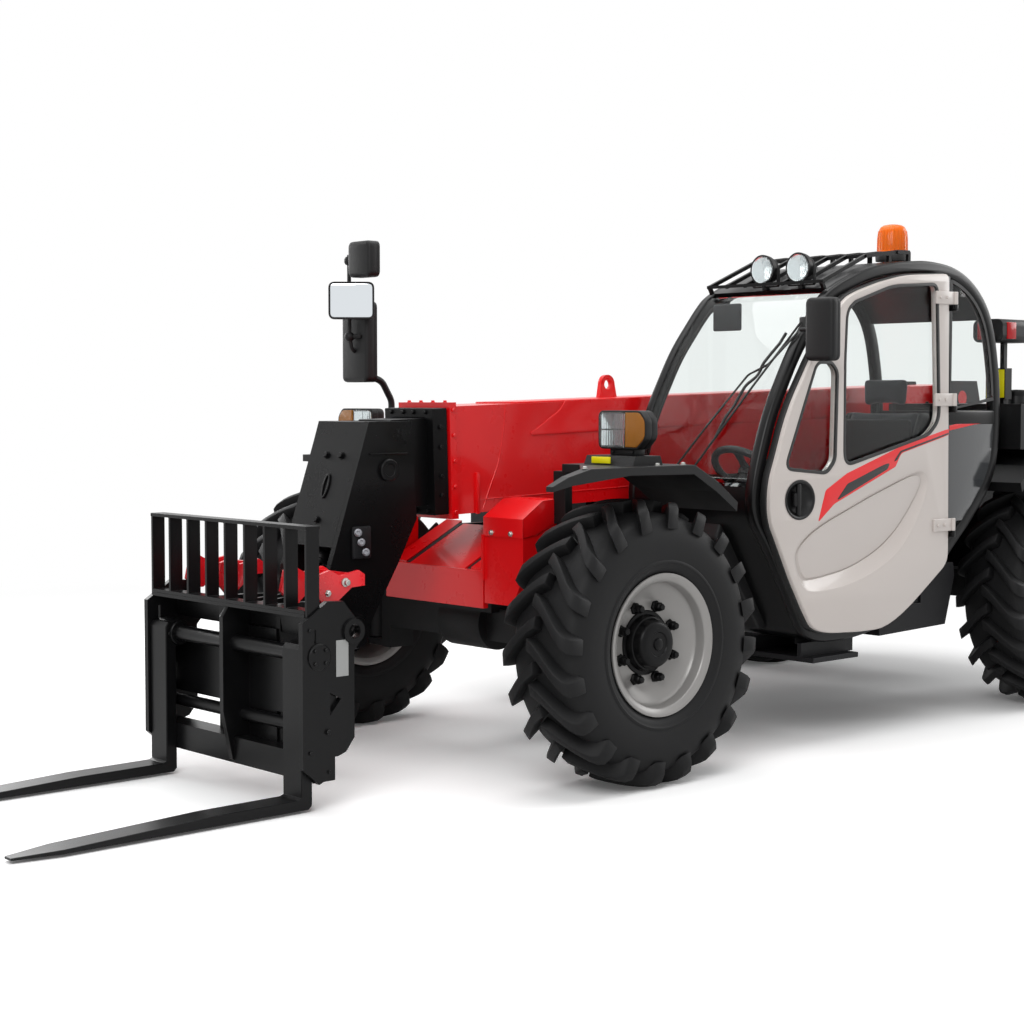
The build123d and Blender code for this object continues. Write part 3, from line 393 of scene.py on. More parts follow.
wheel_silver = painted("silver_wheel_enamel", "#8F8D8B", 0.36, cloud=0.04, metal=0.3)
satin_black = painted("satin_black_powder_coat", "#0B0B0C", 0.34, depth=0.05, peel=0.0011, specular=0.14)
rim_section = [
    # x, radius
    (-150, 242), (-149, 249), (-144, 250), (-138, 246), (-134, 229), (134, 229), (138, 246), (144, 250), (149, 249),
    (150, 243), (146, 236), (141, 223), (134, 219), (104, 217), (96, 214), (88, 204), (76, 188), (67, 172), (60, 158),
    (58, 148), (58, 100), (56, 0), (46, 0), (46, 146), (52, 172), (64, 196), (72, 212), (70, 217), (-142, 221),
]
rim_mesh = gather("rim", [turned(rim_section, 96)], 40.0)
cap_section = [
    # x, radius of the hub cap
    (57, 0), (57, 112), (60, 114), (63, 112), (64, 100), (72, 99), (80, 95), (84, 93), (86, 88), (104, 84), (112, 82),
    (118, 78), (123, 70), (125, 60), (125, 44), (121, 41), (121, 22), (126, 20), (129, 14), (129, 0),
]
wheel_nuts, nut_circle_r = 8, 0.133
nut = turned([(57, 0), (57, 23), (60, 23), (66, 19.5), (66, 17), (84, 17), (88, 13), (96, 12), (97, 0)], 6,
             Vector((0, nut_circle_r, 0)))
nuts = repeated(softened(nut, 1.2, 1), satin_black, wheel_nuts, turn=(360 / wheel_nuts, 0, 0))
nuts.transform(Matrix.Rotation(math.radians(180 / wheel_nuts), 4, "X"))
cap_mesh = gather("hub_cap", [turned(cap_section, 48), nuts], 35.0)
for tag, side, middle in wheels:
    fitted("rim_" + tag + "_disc", on_wheel(rim_mesh, side, middle), "wheel_" + tag, wheel_silver, "rim_silver",
           "rim_" + tag)
    fitted("hub_cap_" + tag, on_wheel(cap_mesh, side, middle), "wheel_" + tag, satin_black, "black_paint")

# ------------------------------------------------------------------ axles and wheel hubs
# Cast axle housings and steering knuckles, one casting each, sprayed black straight over the sand skin.
# The casting's grain is coarse and matt, with rounded corners where the mould parted.


def eased(piece, edge):
    """A live bevel of a width in millimetres on a piece's sharp edges."""
    ease = piece.modifiers.new("eased", "BEVEL")
    ease.width = edge / 1000
    ease.segments = 2
    ease.limit_method = "ANGLE"
    ease.angle_limit = math.radians(35.0)


def dressed(material, edge, *nodes):
    """CAD pieces kept as they are: their finish, and sharp edges eased by a width in millimetres."""
    for node_name in nodes:
        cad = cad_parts[node_name]
        cad.data.materials.clear()
        cad.data.materials.append(material)
        weld = cad.modifiers.new("weld", "WELD")
        weld.merge_threshold = 0.00002
        eased(cad, edge)


cast_black = painted("cast_black_axle_paint", "#19191A", 0.52, depth=0.3, peel=0.0024, specular=0.2)
dressed(cast_black, 3, "axles", "knuckle_front_left", "knuckle_front_right", "knuckle_rear_left",
        "knuckle_rear_right")

# ------------------------------------------------------------------ chassis and counterweight
# Flame-cut plate side members welded to a folded belly, a cast weight between the rear wheels, and a fuel tank
# and step hung under the cab. Plate and tank wear charcoal chassis paint, satin over a light orange peel; the
# weight's casting is matt and coarser.
chassis_grey = painted("charcoal_chassis_paint", "#1C1C1E", 0.4, specular=0.16)
dressed(chassis_grey, 2, "chassis_frame", "side_tank")
dressed(painted("charcoal_cast_weight", "#19191A", 0.5, depth=0.35, peel=0.003, specular=0.16), 7, "counterweight")

# ------------------------------------------------------------------ red nose
# Folded sheet panels round the front of the chassis: a cross band, a deck rising behind it, and a box with a
# bolted lid at each corner. Gloss red enamel, sprayed wet, so it mirrors the light and has a soft peel.


def meshed(curve):
    """The plain mesh of a curve."""
    maker = bpy.data.objects.new("maker", curve)
    bpy.context.collection.objects.link(maker)
    mesh = evaluated(maker)
    bpy.data.objects.remove(maker)
    return mesh


def plate(loops, low, high, edge=2.0, axis="X"):
    """A flat plate between two planes from an outline and its holes, millimetres, with rounded edges."""
    curve = bpy.data.curves.new("plate", "CURVE")
    curve.dimensions = "2D"
    curve.fill_mode = "BOTH"
    for loop in loops:
        spline = curve.splines.new("POLY")
        spline.points.add(len(loop) - 1)
        for point, flat in zip(spline.points, loop):
            point.co = (flat[0] / 1000, flat[1] / 1000, 0.0, 1.0)
        spline.use_cyclic_u = True
    edge = min(edge, (high - low) * 0.45)
    curve.extrude = (high - low) / 2000 - edge / 1000
    curve.bevel_depth = edge / 1000
    curve.offset = -edge / 1000
    curve.bevel_resolution = 2
    mesh = meshed(curve)
    turns = {
        "X": Matrix(((0, 0, 1, 0), (1, 0, 0, 0), (0, 1, 0, 0), (0, 0, 0, 1))),
        "Y": Matrix(((1, 0, 0, 0), (0, 0, -1, 0), (0, 1, 0, 0), (0, 0, 0, 1))),
        "Z": Matrix.Identity(4),
    }
    middle = Vector([(low + high) / 2000 if a == axis else 0.0 for a in "XYZ"])
    mesh.transform(Matrix.Translation(middle) @ turns[axis])
    return mesh


def bar(x0, x1, y0, y1, z0, z1, edge=3.0, segments=3):
    """A block between two corners in millimetres with rounded edges."""
    mesh = lofted([[(x, y, z) for x, y in ((x0, y0), (x1, y0), (x1, y1), (x0, y1))] for z in (z0, z1)])
    return softened(mesh, edge, segments)


def aimed(mesh, direction, place):
    """A form drawn along +X turned to a direction and moved to a place in millimetres."""
    turned_mesh = mesh.copy()
    turn = Vector((1, 0, 0)).rotation_difference(Vector(direction)).to_matrix().to_4x4()
    turned_mesh.transform(Matrix.Translation(Vector(place) / 1000) @ turn)
    return turned_mesh


def mirrored(mesh):
    """The other side's copy of a form."""
    other = mesh.copy()
    other.transform(Matrix.Scale(-1, 4, (1, 0, 0)))
    other.flip_normals()
    return other


def two_sided(meshes):
    """Forms of the left side and their copies on the right."""
    return meshes + [mirrored(m) for m in meshes]


def built(name, meshes, angle=32.0):
    """One mesh from pieces drawn from the front axle, set in the frame."""
    whole = gather(name, meshes, angle)
    whole.transform(Matrix.Translation((0, front_axle.y, 0)))
    return whole


def assembled(name, forms, body, material, slot, *replaced, angle=32.0):
    """A finished piece made of forms drawn from the front axle."""
    return fitted(name, built(name, forms, angle), body, material, slot, *replaced)


def bolt(radius, direction, place):
    """A hexagon bolt head on its washer."""
    head = [(0, 0), (0, 1.35), (0.22, 1.35), (0.22, 1.0), (0.95, 1.0), (1.1, 0.82), (1.1, 0)]
    return aimed(turned([(x * radius, r * radius) for x, r in head], 6), direction, place)


ahead, up = (0, -1, 0), (0, 0, 1)
gloss_red = painted("gloss_red_enamel", "#D80B11", 0.28, coat=0.25, cloud=0.03, specular=0.3)
zinc = painted("zinc_plated_steel", "#B4B4B0", 0.32, cloud=0.08, metal=0.85, peel=0.0008)
dressed(gloss_red, 3, "nose_panels")
lid_skin = [(-228, 852), (-228, 921), (-131, 984), (-58, 989), (-58, 984.3), (-129, 979), (-222.4, 918.6),
            (-222.4, 852)]
lid_side = [(-227, 854), (-227, 920), (-131, 983), (-60, 988), (-60, 905), (-160, 862)]
lids = [plate([lid_skin], 290, 504, 1.5), plate([lid_side], 500.4, 504, 1.5)]
assembled("nose_box_lids", two_sided(lids), "chassis", gloss_red, "red_paint")
lid_bolts = [bolt(8, ahead, (side * x, -228, 866)) for side in (1, -1) for x in (337, 441)]
assembled("nose_lid_bolts", lid_bolts, "chassis", zinc, "chrome_rod")

# ------------------------------------------------------------------ mudguards
# Moulded black polymer over each tyre, on steel stays bolted to the nose boxes; the front pair are cut away at
# their inner corner and carry a plinth for the headlamp. The moulding is semi-matt with a fine leathery grain.
guard_black = painted("moulded_guard_polymer", "#0F0F10", 0.42, depth=0.14, peel=0.0011, cloud=0.04, specular=0.25)
guard_work = bmesh.new()
guard_work.from_mesh(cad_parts["mudguards"].data)
bmesh.ops.remove_doubles(guard_work, verts=guard_work.verts, dist=0.00002)
# in this copy of the CAD guards the right front one ends short ahead of its wheel, hidden by the boom head
right_guard_end = -0.67
right_front = [f for f in guard_work.faces if f.calc_center_median().x < 0 and f.calc_center_median().y < 0.1]
around = {v for f in right_front for v in f.verts} | {e for f in right_front for e in f.edges} | set(right_front)
bmesh.ops.bisect_plane(guard_work, geom=list(around), plane_co=(0, right_guard_end, 0), plane_no=ahead,
                       dist=0.00001, clear_outer=True)
bmesh.ops.holes_fill(guard_work, edges=[e for e in guard_work.edges if e.is_boundary])
bmesh.ops.recalc_face_normals(guard_work, faces=guard_work.faces)
guard_mesh = bpy.data.meshes.new("mudguard_set")
guard_work.to_mesh(guard_mesh)
guard_work.free()
guard_set = fitted("mudguard_set", guard_mesh, "chassis", guard_black, "black_plastic", "mudguards")
eased(guard_set, 9)
guard_bolts = []
for side, front_bolt in ((1, (-330, 1115.6)), (-1, (240, 1089))):
    for y, z in ((20, 1118), (150, 1118), front_bolt, (2560, 1112.5), (2700, 1112.5)):
        guard_bolts.append(bolt(8, up, (side * 925, y, z)))
assembled("mudguard_bolts", guard_bolts, "chassis", zinc, "chrome_rod")
blank_yellow = painted("yellow_reflective_sheet", "#F2E600", 0.35, cloud=0.02, peel=0.003, depth=0.08)
plates = [bar(684, 776, -64, -58.5, 1123, 1146, 1.5, 2)]
assembled("plinth_reflectors", two_sided(plates), "chassis", blank_yellow, "amber_lens")

# ------------------------------------------------------------------ cab shell
# Two pressed side hoops of rounded tube joined by a folded roof, scuttle and rear skin, all black powder coat.
# The hoops follow one smooth outline; the panes are bonded to them with black rubber.


def bend_of(before, here, after, radius, steps):
    """Points along the bend that eases the corner between two straight runs."""
    arm_in, arm_out = before - here, after - here
    cut = radius * math.tan((math.pi - arm_in.angle(arm_out)) / 2)
    start = here + arm_in.normalized() * min(cut, arm_in.length / 2)
    stop = here + arm_out.normalized() * min(cut, arm_out.length / 2)
    return [start * (1 - t) ** 2 + here * (2 * t * (1 - t)) + stop * t ** 2
            for t in (k / steps for k in range(steps + 1))]


def rounded(points, radius=900.0, steps=6):
    """A closed loop of points with its corners eased; a third number on a point is its own corner radius."""
    loop = []
    n = len(points)
    for i in range(n):
        before, here, after = Vector(points[i - 1][:2]), Vector(points[i][:2]), Vector(points[(i + 1) % n][:2])
        loop.extend(bend_of(before, here, after, points[i][2] if len(points[i]) > 2 else radius, steps))
    clean = [loop[0]]
    for point in loop[1:]:
        if (point - clean[-1]).length > 0.5:
            clean.append(point)
    return clean if (clean[0] - clean[-1]).length > 0.5 else clean[:-1]


def shrunk(loop, distance):
    """A dense closed loop moved inward by a distance in millimetres."""
    n = len(loop)
    area = sum(loop[i - 1][0] * loop[i][1] - loop[i][0] * loop[i - 1][1] for i in range(n))
    side = 1 if area > 0 else -1
    moved = []
    for i in range(n):
        along = (Vector(loop[(i + 1) % n][:2]) - Vector(loop[i - 1][:2])).normalized()
        moved.append(Vector(loop[i][:2]) + Vector((-along.y, along.x)) * side * distance)
    return moved


def pipe(points, radius, bend=40.0, sides=3):
    """A round tube in millimetres along points with bends of one radius, closed at its ends."""
    route = []
    for i, point in enumerate(points):
        here = Vector(point)
        if i in (0, len(points) - 1):
            route.append(here)
            continue
        route.extend(bend_of(Vector(points[i - 1]), here, Vector(points[i + 1]), bend, 5))
    curve = bpy.data.curves.new("pipe", "CURVE")
    curve.dimensions = "3D"
    curve.bevel_depth = radius / 1000
    curve.bevel_resolution = sides
    curve.use_fill_caps = True
    spline = curve.splines.new("POLY")
    spline.points.add(len(route) - 1)
    for point, place in zip(spline.points, route):
        point.co = (*(place / 1000), 1.0)
    return meshed(curve)


cab_rail = [
    # y, z round the cab's side from the front of the floor, up the screen and over the roof
    (945, 403), (872, 520), (700, 800), (612, 905), (612, 1035), (704, 1300), (850, 1545), (985, 1700), (1060, 1776),
    (1309, 1869), (1500, 1898), (1690, 1911), (1888, 1896), (2056, 1816), (2170, 1675), (2221, 1418), (2227, 1170),
    (2179, 988), (2013, 824), (1795, 643), (1617, 535), (1464, 445), (1236, 403),
]
rail_loop = rounded(cab_rail)
cab_x0, cab_x1 = 196.0, 850.0


def run_of(loop, inside):
    """The places, in order, of a closed loop's points that pass a test."""
    flags = [inside(p) for p in loop]
    n = len(loop)
    start = next(i for i in range(n) if flags[i] and not flags[i - 1])
    run = []
    while flags[start % n] and len(run) < n:
        run.append(start % n)
        start += 1
    return run


def stretch(loop, inside):
    """The run of a loop whose points pass a test."""
    return [loop[i] for i in run_of(loop, inside)]


def band(inside, depth0, depth1):
    """Section of a skin that follows the cab's outline between two depths."""
    outer, inner = shrunk(rail_loop, depth0), shrunk(rail_loop, depth1)
    run = run_of(rail_loop, inside)
    return [outer[i] for i in run] + [inner[i] for i in reversed(run)]


def is_screen(p):
    """Whether a point of the cab's outline lies along the screen."""
    return p[0] < 1075 and p[1] > 1036


def is_rear_pane(p):
    """Whether a point of the cab's outline lies along the rear pane."""
    return p[0] > 2040 and 1300 < p[1] < 1812


inner_loop = shrunk(rail_loop, 50)
cab_metal = [
    plate([rail_loop, inner_loop], cab_x1 - 46, cab_x1, 12),
    plate([rail_loop, inner_loop], cab_x0, cab_x0 + 40, 12),
    plate([band(lambda p: not is_screen(p) and p[0] > 1000 and p[1] > 1690, 0, 25)], cab_x0 + 20, cab_x1 - 20, 3),
    plate([band(lambda p: not is_rear_pane(p) and p[1] <= 1690 and not is_screen(p), 4, 25)], cab_x0 + 20,
          cab_x1 - 20, 3),
    bar(cab_x1 - 46, cab_x1 - 2, 1798, 1852, 665, 1860, 8),
    bar(cab_x1 - 44, cab_x1 - 3, 1840, 2190, 1236, 1299, 8),
]
wall_loop = stretch(inner_loop, lambda p: p[1] < 1000)
cab_metal.append(plate([wall_loop], cab_x0 + 6, cab_x0 + 22, 2))
quarter_low = stretch(inner_loop, lambda p: p[0] > 1846 and p[1] < 1262)
quarter_low = quarter_low + [Vector((1846, quarter_low[-1][1])), Vector((1846, 1262))]
cab_black = painted("black_cab_powder_coat", "#0A0A0B", 0.3, coat=0.04, depth=0.04, peel=0.0012, specular=0.22)
hinge_x, hinge_y, hinge_heights = 906, 1802, (831, 1344, 1759)
hinge_pins = []
for z in hinge_heights:
    hinge_pins.append(bar(cab_x1 - 4, 914, 1796, 1812, z - 52, z - 27, 2, 2))
    hinge_pins.append(aimed(turned([(-41, 0), (-41, 9), (-26.5, 9), (-26.5, 0)], 20), up, (hinge_x, hinge_y, z)))
assembled("cab_shell", cab_metal + hinge_pins, "chassis", cab_black, "black_paint", "cab_frame", angle=35.0)

# ------------------------------------------------------------------ cab glass
# Bonded safety glass, bent at the screen and the rear: clear all round, above a dark gloss panel on the left rear
# quarter. A thin black rubber band hides the glue of the side panes; the surface carries a trace of dust haze.


def tinted(name, colour, haze):
    """Sheet glass: the colour is what a pane lets through, haze its finest dust."""
    material, tree = new_material(name)
    place = add(tree, "ShaderNodeTexCoord")
    dust = noise(tree, place, 4.0, 5.0)
    rough = ranged(tree, (dust, 0), 0.0, haze)
    pane = add(tree, "ShaderNodeBsdfPrincipled",
               {"Base Color": linear(colour), "IOR": 1.2, "Transmission Weight": 1.0}, {"Roughness": (rough, 0)})
    add(tree, "ShaderNodeOutputMaterial", links={"Surface": (pane, 0)})
    return material


clear_glass = tinted("clear_safety_glass", "#F5F8F7", 0.004)
window_rubber = painted("window_rubber", "#131313", 0.55, depth=0.1, peel=0.0009)
panes = [plate([band(lambda p: p[0] < 1075 and p[1] > 1034, 6, 12)], cab_x0 + 38, cab_x1 - 44, 1),
         plate([band(is_rear_pane, 6, 12)], cab_x0 + 38, cab_x1 - 44, 1)]
right_loop = stretch(inner_loop, lambda p: p[1] > 996)
panes.append(plate([right_loop], cab_x0 + 12, cab_x0 + 18, 1))
quarter_high = stretch(inner_loop, lambda p: p[0] > 1850 and p[1] > 1300)
quarter_high = quarter_high + [Vector((1850, 1300)), Vector((1850, quarter_high[0][1]))]
panes.append(plate([quarter_high], cab_x1 - 12, cab_x1 - 6, 1))
assembled("cab_panes", panes, "chassis", clear_glass, "glass", "cab_glass", angle=8.0)
assembled("rear_quarter_panel", [plate([quarter_low], cab_x1 - 16, cab_x1 - 4, 2)], "chassis",
          painted("dark_gloss_quarter", "#3B3D3F", 0.12, coat=0.6, cloud=0.03), "glass", angle=25.0)


def rim_of(loop, wide, low, high):
    """A flat frame along a loop, lying between two planes across the cab, millimetres."""
    outer, inner = shrunk(loop, 1), shrunk(loop, wide)
    rings = [[(x, *p) for p in edge] for edge, x in ((outer, low), (outer, high), (inner, high), (inner, low))]
    n = len(loop)
    faces = [(i * n + k, i * n + (k + 1) % n, (i + 1) % 4 * n + (k + 1) % n, (i + 1) % 4 * n + k)
             for i in range(4) for k in range(n)]
    mesh = bpy.data.meshes.new("rim")
    mesh.from_pydata([Vector(p) / 1000 for ring in rings for p in ring], [], faces)
    return mesh


rubbers = [rim_of(right_loop, 22, cab_x0 + 18.5, cab_x0 + 21), rim_of(quarter_high, 16, cab_x1 - 6, cab_x1 - 3)]
assembled("window_bonding", rubbers, "chassis", window_rubber, "black_plastic")

# ------------------------------------------------------------------ cab door
# One pressed and painted door skin on three hinges, with two bonded panes, a grip recess and a latch dish.
# The skin is pearl beige; a red stripe with a black inlay is laid on it, and rubber runs round each pane.
door_loop = rounded([
    # y, z, own corner radius
    (932, 450), (872, 526), (785, 664), (700, 820), (655, 900), (655, 1030), (697, 1132), (761, 1302), (893, 1497),
    (1005, 1640), (1089, 1732), (1169, 1765), (1314, 1806), (1482, 1841), (1770, 1858, 30), (1786, 674, 90),
    (1411, 436), (1200, 436),
])
front_pane = rounded([(912, 1470, 60), (735, 1085, 35), (985, 1062, 60), (1040, 1110, 60), (1050, 1455, 50),
                      (1010, 1490, 40), (935, 1490, 50)])
main_pane = rounded([(1150, 1725, 60), (1388, 1796, 500), (1690, 1815, 40), (1715, 1260, 90), (1640, 1200, 120),
                     (1090, 1085, 50), (1090, 1500, 900), (1100, 1690, 90)])
grip_lip = rounded([(805, 790), (923, 863), (1277, 978), (1526, 1050), (1604, 1060), (1642, 1022), (1625, 958),
                    (1531, 807), (1406, 708), (1161, 627), (900, 608), (838, 640), (795, 735)])
dish_lip = [(826 + 80 * math.cos(i * math.pi / 24), 968 + 68 * math.sin(i * math.pi / 24)) for i in range(48)]
skin = [plate([door_loop, front_pane, main_pane, grip_lip, dish_lip], 858, 898, 7)]
# the recess falls from its straight top edge to its foot, where a groove runs round the floor
top_edge, fall = Vector((805, 790)), Vector((0.320, -0.947))
lows = [min(max((p - top_edge).dot(fall) / 245, 0), 1) for p in grip_lip]
inward = [(q - p).normalized() for p, q in zip(grip_lip, shrunk(grip_lip, 1))]
grip_rings = [[(897.8, *(p - d * 5)) for p, d in zip(grip_lip, inward)], [(896.6, *p) for p in grip_lip]]
foot_ring = [p + d * (7 + 40 * low) for p, d, low in zip(grip_lip, inward, lows)]
grip_rings.append([(893.0 - 20 * low, *(p + d * (3 + 20 * low))) for p, d, low in zip(grip_lip, inward, lows)])
heart = sum(foot_ring, Vector((0, 0))) / len(foot_ring)
for t, dip in ((1.0, 0), (0.985, 5), (0.965, 5), (0.95, 0), (0.8, 0), (0.5, 0), (0.15, 0)):
    grip_rings.append([(889.5 - dip - 33 * min(max((q - top_edge).dot(fall) / 215, 0), 1) ** 1.1, *q)
                       for q in (heart + (p - heart) * t for p in foot_ring)])
skin.append(lofted(grip_rings, first_cap=False))
hinge_leaves = []
hinge_barrel = turned([(-26, 0), (-26, 8), (-24, 10), (24, 10), (26, 8), (26, 0)], 24)
for z in hinge_heights:
    hinge_leaves.append(bar(897, 907, 1672, 1792, z - 26, z + 26, 3, 3))
    hinge_leaves.append(aimed(hinge_barrel, up, (hinge_x, hinge_y, z)))
    for y in (1695, 1740):
        hinge_leaves.append(bolt(7, (1, 0, 0), (906.5, y, z)))
door_beige = painted("pearl_beige_enamel", "#C6BEB9", 0.3, coat=0.3, cloud=0.015, specular=0.4)
assembled("door_skin", skin + hinge_leaves, "cab_door", door_beige, "door_beige", "door_panel", angle=28.0)
dish = lofted([[(897.6 - deep, *p) for p in shrunk(dish_lip, inset_by)]
               for inset_by, deep in ((-8, -2.0), (-2, -3.0), (4, 0), (10, 12), (22, 24), (34, 28))], first_cap=False)
latch = [dish, bar(872, 893, 806, 846, 940, 996, 8), bar(880, 898, 818, 838, 905, 1030, 7)]
seals = []
for loop in (front_pane, main_pane):
    seals.append(plate([shrunk(loop, -4), shrunk(loop, 9)], 890, 899.5, 1.5))
seals.append(plate([shrunk(door_loop, -5), shrunk(door_loop, 2.5)], 851, 880, 3))
moulded_black = painted("moulded_black_plastic", "#131314", 0.48, depth=0.12, peel=0.0007, cloud=0.04, specular=0.25)
assembled("door_latch_dish", latch, "cab_door", moulded_black, "black_plastic", angle=30.0)
assembled("door_seals", seals, "cab_door", window_rubber, "black_plastic", angle=30.0)
door_panes = [plate([shrunk(loop, 1)], 872, 878, 1) for loop in (front_pane, main_pane)]
assembled("door_panes", door_panes, "cab_door", clear_glass, "glass", "door_glass", angle=8.0)

stripe_red = painted("red_vinyl_stripe", "#E3161D", 0.3, cloud=0.02, peel=0.002)
stripe_black = painted("black_vinyl_inlay", "#0E0E0F", 0.28, cloud=0.02, peel=0.002)
stripe = rounded([(934, 877, 5), (979, 999, 25), (1108, 1060, 90), (1454, 1159, 300), (1745, 1219, 300),
                  (1776, 1224, 2), (1776, 1201, 2), (1746, 1193, 300), (1455, 1131, 40), (1418, 1078, 25),
                  (1032, 945, 60)])
inlay = rounded([(1042, 955, 5), (1112, 1020, 30), (1386, 1102, 30), (1366, 1070, 20)])
line = rounded([(1400, 1096, 10), (1449, 1141, 20), (1774, 1209, 2), (1774, 1202, 2), (1455, 1134, 20),
                (1428, 1104, 10)])
assembled("door_stripe", [plate([stripe], 897.9, 898.7, 0.1)], "cab_door", stripe_red, "hook_red")
inlays = [plate([loop], 898.5, 899.2, 0.1) for loop in (inlay, line)]
assembled("door_stripe_inlay", inlays, "cab_door", stripe_black, "black_plastic")
tail = rounded([(1855, 1236, 2), (1855, 1216, 2), (2040, 1240, 200), (2172, 1248, 8), (2168, 1262, 8),
                (2040, 1262, 200)])
assembled("quarter_stripe", [plate([tail], 845.8, 846.6, 0.1)], "chassis", stripe_red, "hook_red")

# ------------------------------------------------------------------ driver's seat
# Suspension seat: cut foam cushions in dark grey woven cloth with vinyl side bolsters, on a moulded pan over a
# bellows, with a red belt across it. The cloth is a coarse twill, 2.4 mm a rib, with a soft sheen.


def stuffed(mesh, cap):
    """A cushion blown up by the cloth solver from a slightly small form; cap is the largest move in metres."""
    cushion = bpy.data.objects.new("cushion", mesh)
    bpy.context.collection.objects.link(cushion)
    remesh = cushion.modifiers.new("remesh", "REMESH")
    remesh.mode = "VOXEL"
    remesh.voxel_size = 0.007
    even = evaluated(cushion)
    cushion.modifiers.clear()
    cushion.data = even
    start = [v.co.copy() for v in even.vertices]
    cloth = cushion.modifiers.new("cloth", "CLOTH")
    cloth.settings.use_pressure = True
    cloth.settings.uniform_pressure_force = 4.0
    cloth.settings.effector_weights.gravity = 0.0
    for step in range(1, 21):
        bpy.context.scene.frame_set(step)
    blown = bpy.data.meshes.new_from_object(cushion.evaluated_get(bpy.context.evaluated_depsgraph_get()))
    cushion.modifiers.clear()
    for vertex, old in zip(blown.vertices, start):
        move = vertex.co - old
        if move.length > cap:
            vertex.co = old + move.normalized() * cap
    cushion.data = blown
    bpy.context.scene.frame_set(1)
    smooth = cushion.modifiers.new("smooth", "SMOOTH")
    smooth.iterations = 4
    done = evaluated(cushion)
    bpy.data.objects.remove(cushion)
    done.shade_smooth()
    return done


def woven(name, colour, rib):
    """Twill seat cloth: ribs of a width in metres both ways, a little sheen, and a worn drift of tone."""
    material, tree = new_material(name)
    place = add(tree, "ShaderNodeTexCoord")
    warp = add(tree, "ShaderNodeTexWave", {"Scale": 0.31 / rib, "Distortion": 0.6, "bands_direction": "X"},
               {"Vector": (place, "Object")})
    weft = add(tree, "ShaderNodeTexWave", {"Scale": 0.31 / rib, "Distortion": 0.6, "bands_direction": "DIAGONAL"},
               {"Vector": (place, "Object")})
    weave = product(tree, (warp, 1), (weft, 1))
    drift = noise(tree, place, 14.0, 5.0)
    spread = ranged(tree, (drift, 0), 0.86, 1.14)
    thread = ranged(tree, (weave, 0), 0.72, 1.1)
    both = product(tree, (spread, 0), (thread, 0))
    tint = add(tree, "ShaderNodeHueSaturation", {"Color": linear(colour)}, {"Value": (both, 0)})
    bump = bumped(tree, (weave, 0), 0.5, 0.0008)
    skin = add(tree, "ShaderNodeBsdfPrincipled",
               {"Roughness": 0.85, "Sheen Weight": 0.35, "Sheen Roughness": 0.4, "Specular IOR Level": 0.2},
               {"Base Color": (tint, 0), "Normal": (bump, 0)})
    add(tree, "ShaderNodeOutputMaterial", links={"Surface": (skin, 0)})
    return material


def spanned(x0, x1, outline, edge):
    """A cushion form: a side outline between two widths, with rounded edges."""
    return plate([rounded(outline, 25.0, 4)], x0, x1, edge)


seat_cloth = woven("charcoal_seat_twill", "#3A3B3F", 0.0024)
seat_vinyl = painted("black_seat_vinyl", "#1D1D1F", 0.48, depth=0.3, peel=0.0018, specular=0.35)
base = spanned(308, 732, [(1352, 668), (1352, 728), (1400, 742), (1720, 716), (1742, 690), (1740, 662)], 22)
back = spanned(334, 706, [(1712, 760), (1762, 742), (1872, 1180), (1882, 1292), (1836, 1300), (1812, 1200)], 18)
head = spanned(412, 628, [(1834, 1322), (1868, 1320), (1874, 1430), (1836, 1436)], 14)
for tag, form, cap in (("base", base, 0.012), ("back", back, 0.012), ("headrest", head, 0.008)):
    pad = stuffed(form, cap)
    pad.transform(Matrix.Translation((0, front_axle.y, 0)))
    made = fitted("seat_" + tag, pad, "chassis", seat_cloth, "seat_fabric", *(("seat",) if tag == "base" else ()))
bolsters = []
for x0, x1 in ((294, 322), (718, 746)):
    bolsters.append(spanned(x0, x1, [(1350, 660), (1352, 742), (1420, 758), (1700, 742), (1752, 700), (1748, 660)], 12))
for x0, x1 in ((318, 346), (694, 722)):
    bolsters.append(spanned(x0, x1, [(1700, 790), (1770, 760), (1900, 1190), (1896, 1290), (1836, 1286),
                                     (1790, 1180)], 12))
for x in (480, 560):
    bolsters.append(pipe([(x, 1856, 1290), (x, 1856, 1340)], 7))
assembled("seat_bolsters", bolsters, "chassis", seat_vinyl, "seat_fabric")
pan = [bar(300, 740, 1350, 1760, 636, 668, 10, 3), bar(330, 710, 1756, 1782, 660, 1260, 9, 3),
       bar(420, 620, 1480, 1740, 441, 470, 4, 2)]
for i in range(7):
    grow = 8 if i % 2 else 0
    pan.append(bar(426 - grow, 614 + grow, 1486 - grow, 1734 + grow, 470 + 24 * i, 494 + 24 * i, 9, 2))
for x0, x1 in ((252, 300), (744, 792)):
    pan.append(bar(x0, x1, 1440, 1760, 862, 902, 14, 3))
    pan.append(pipe([((x0 + x1) / 2, 1740, 880), ((x0 + x1) / 2, 1770, 820)], 12))
belt = [bar(500, 545, 1448, 1700, 744, 747.5, 1, 1), bar(494, 552, 1500, 1560, 747, 762, 5, 2)]
assembled("seat_pan_and_arms", pan, "chassis", moulded_black, "black_plastic")
assembled("seat_belt", belt, "chassis", woven("red_belt_webbing", "#8E1A1C", 0.0016), "seat_fabric")

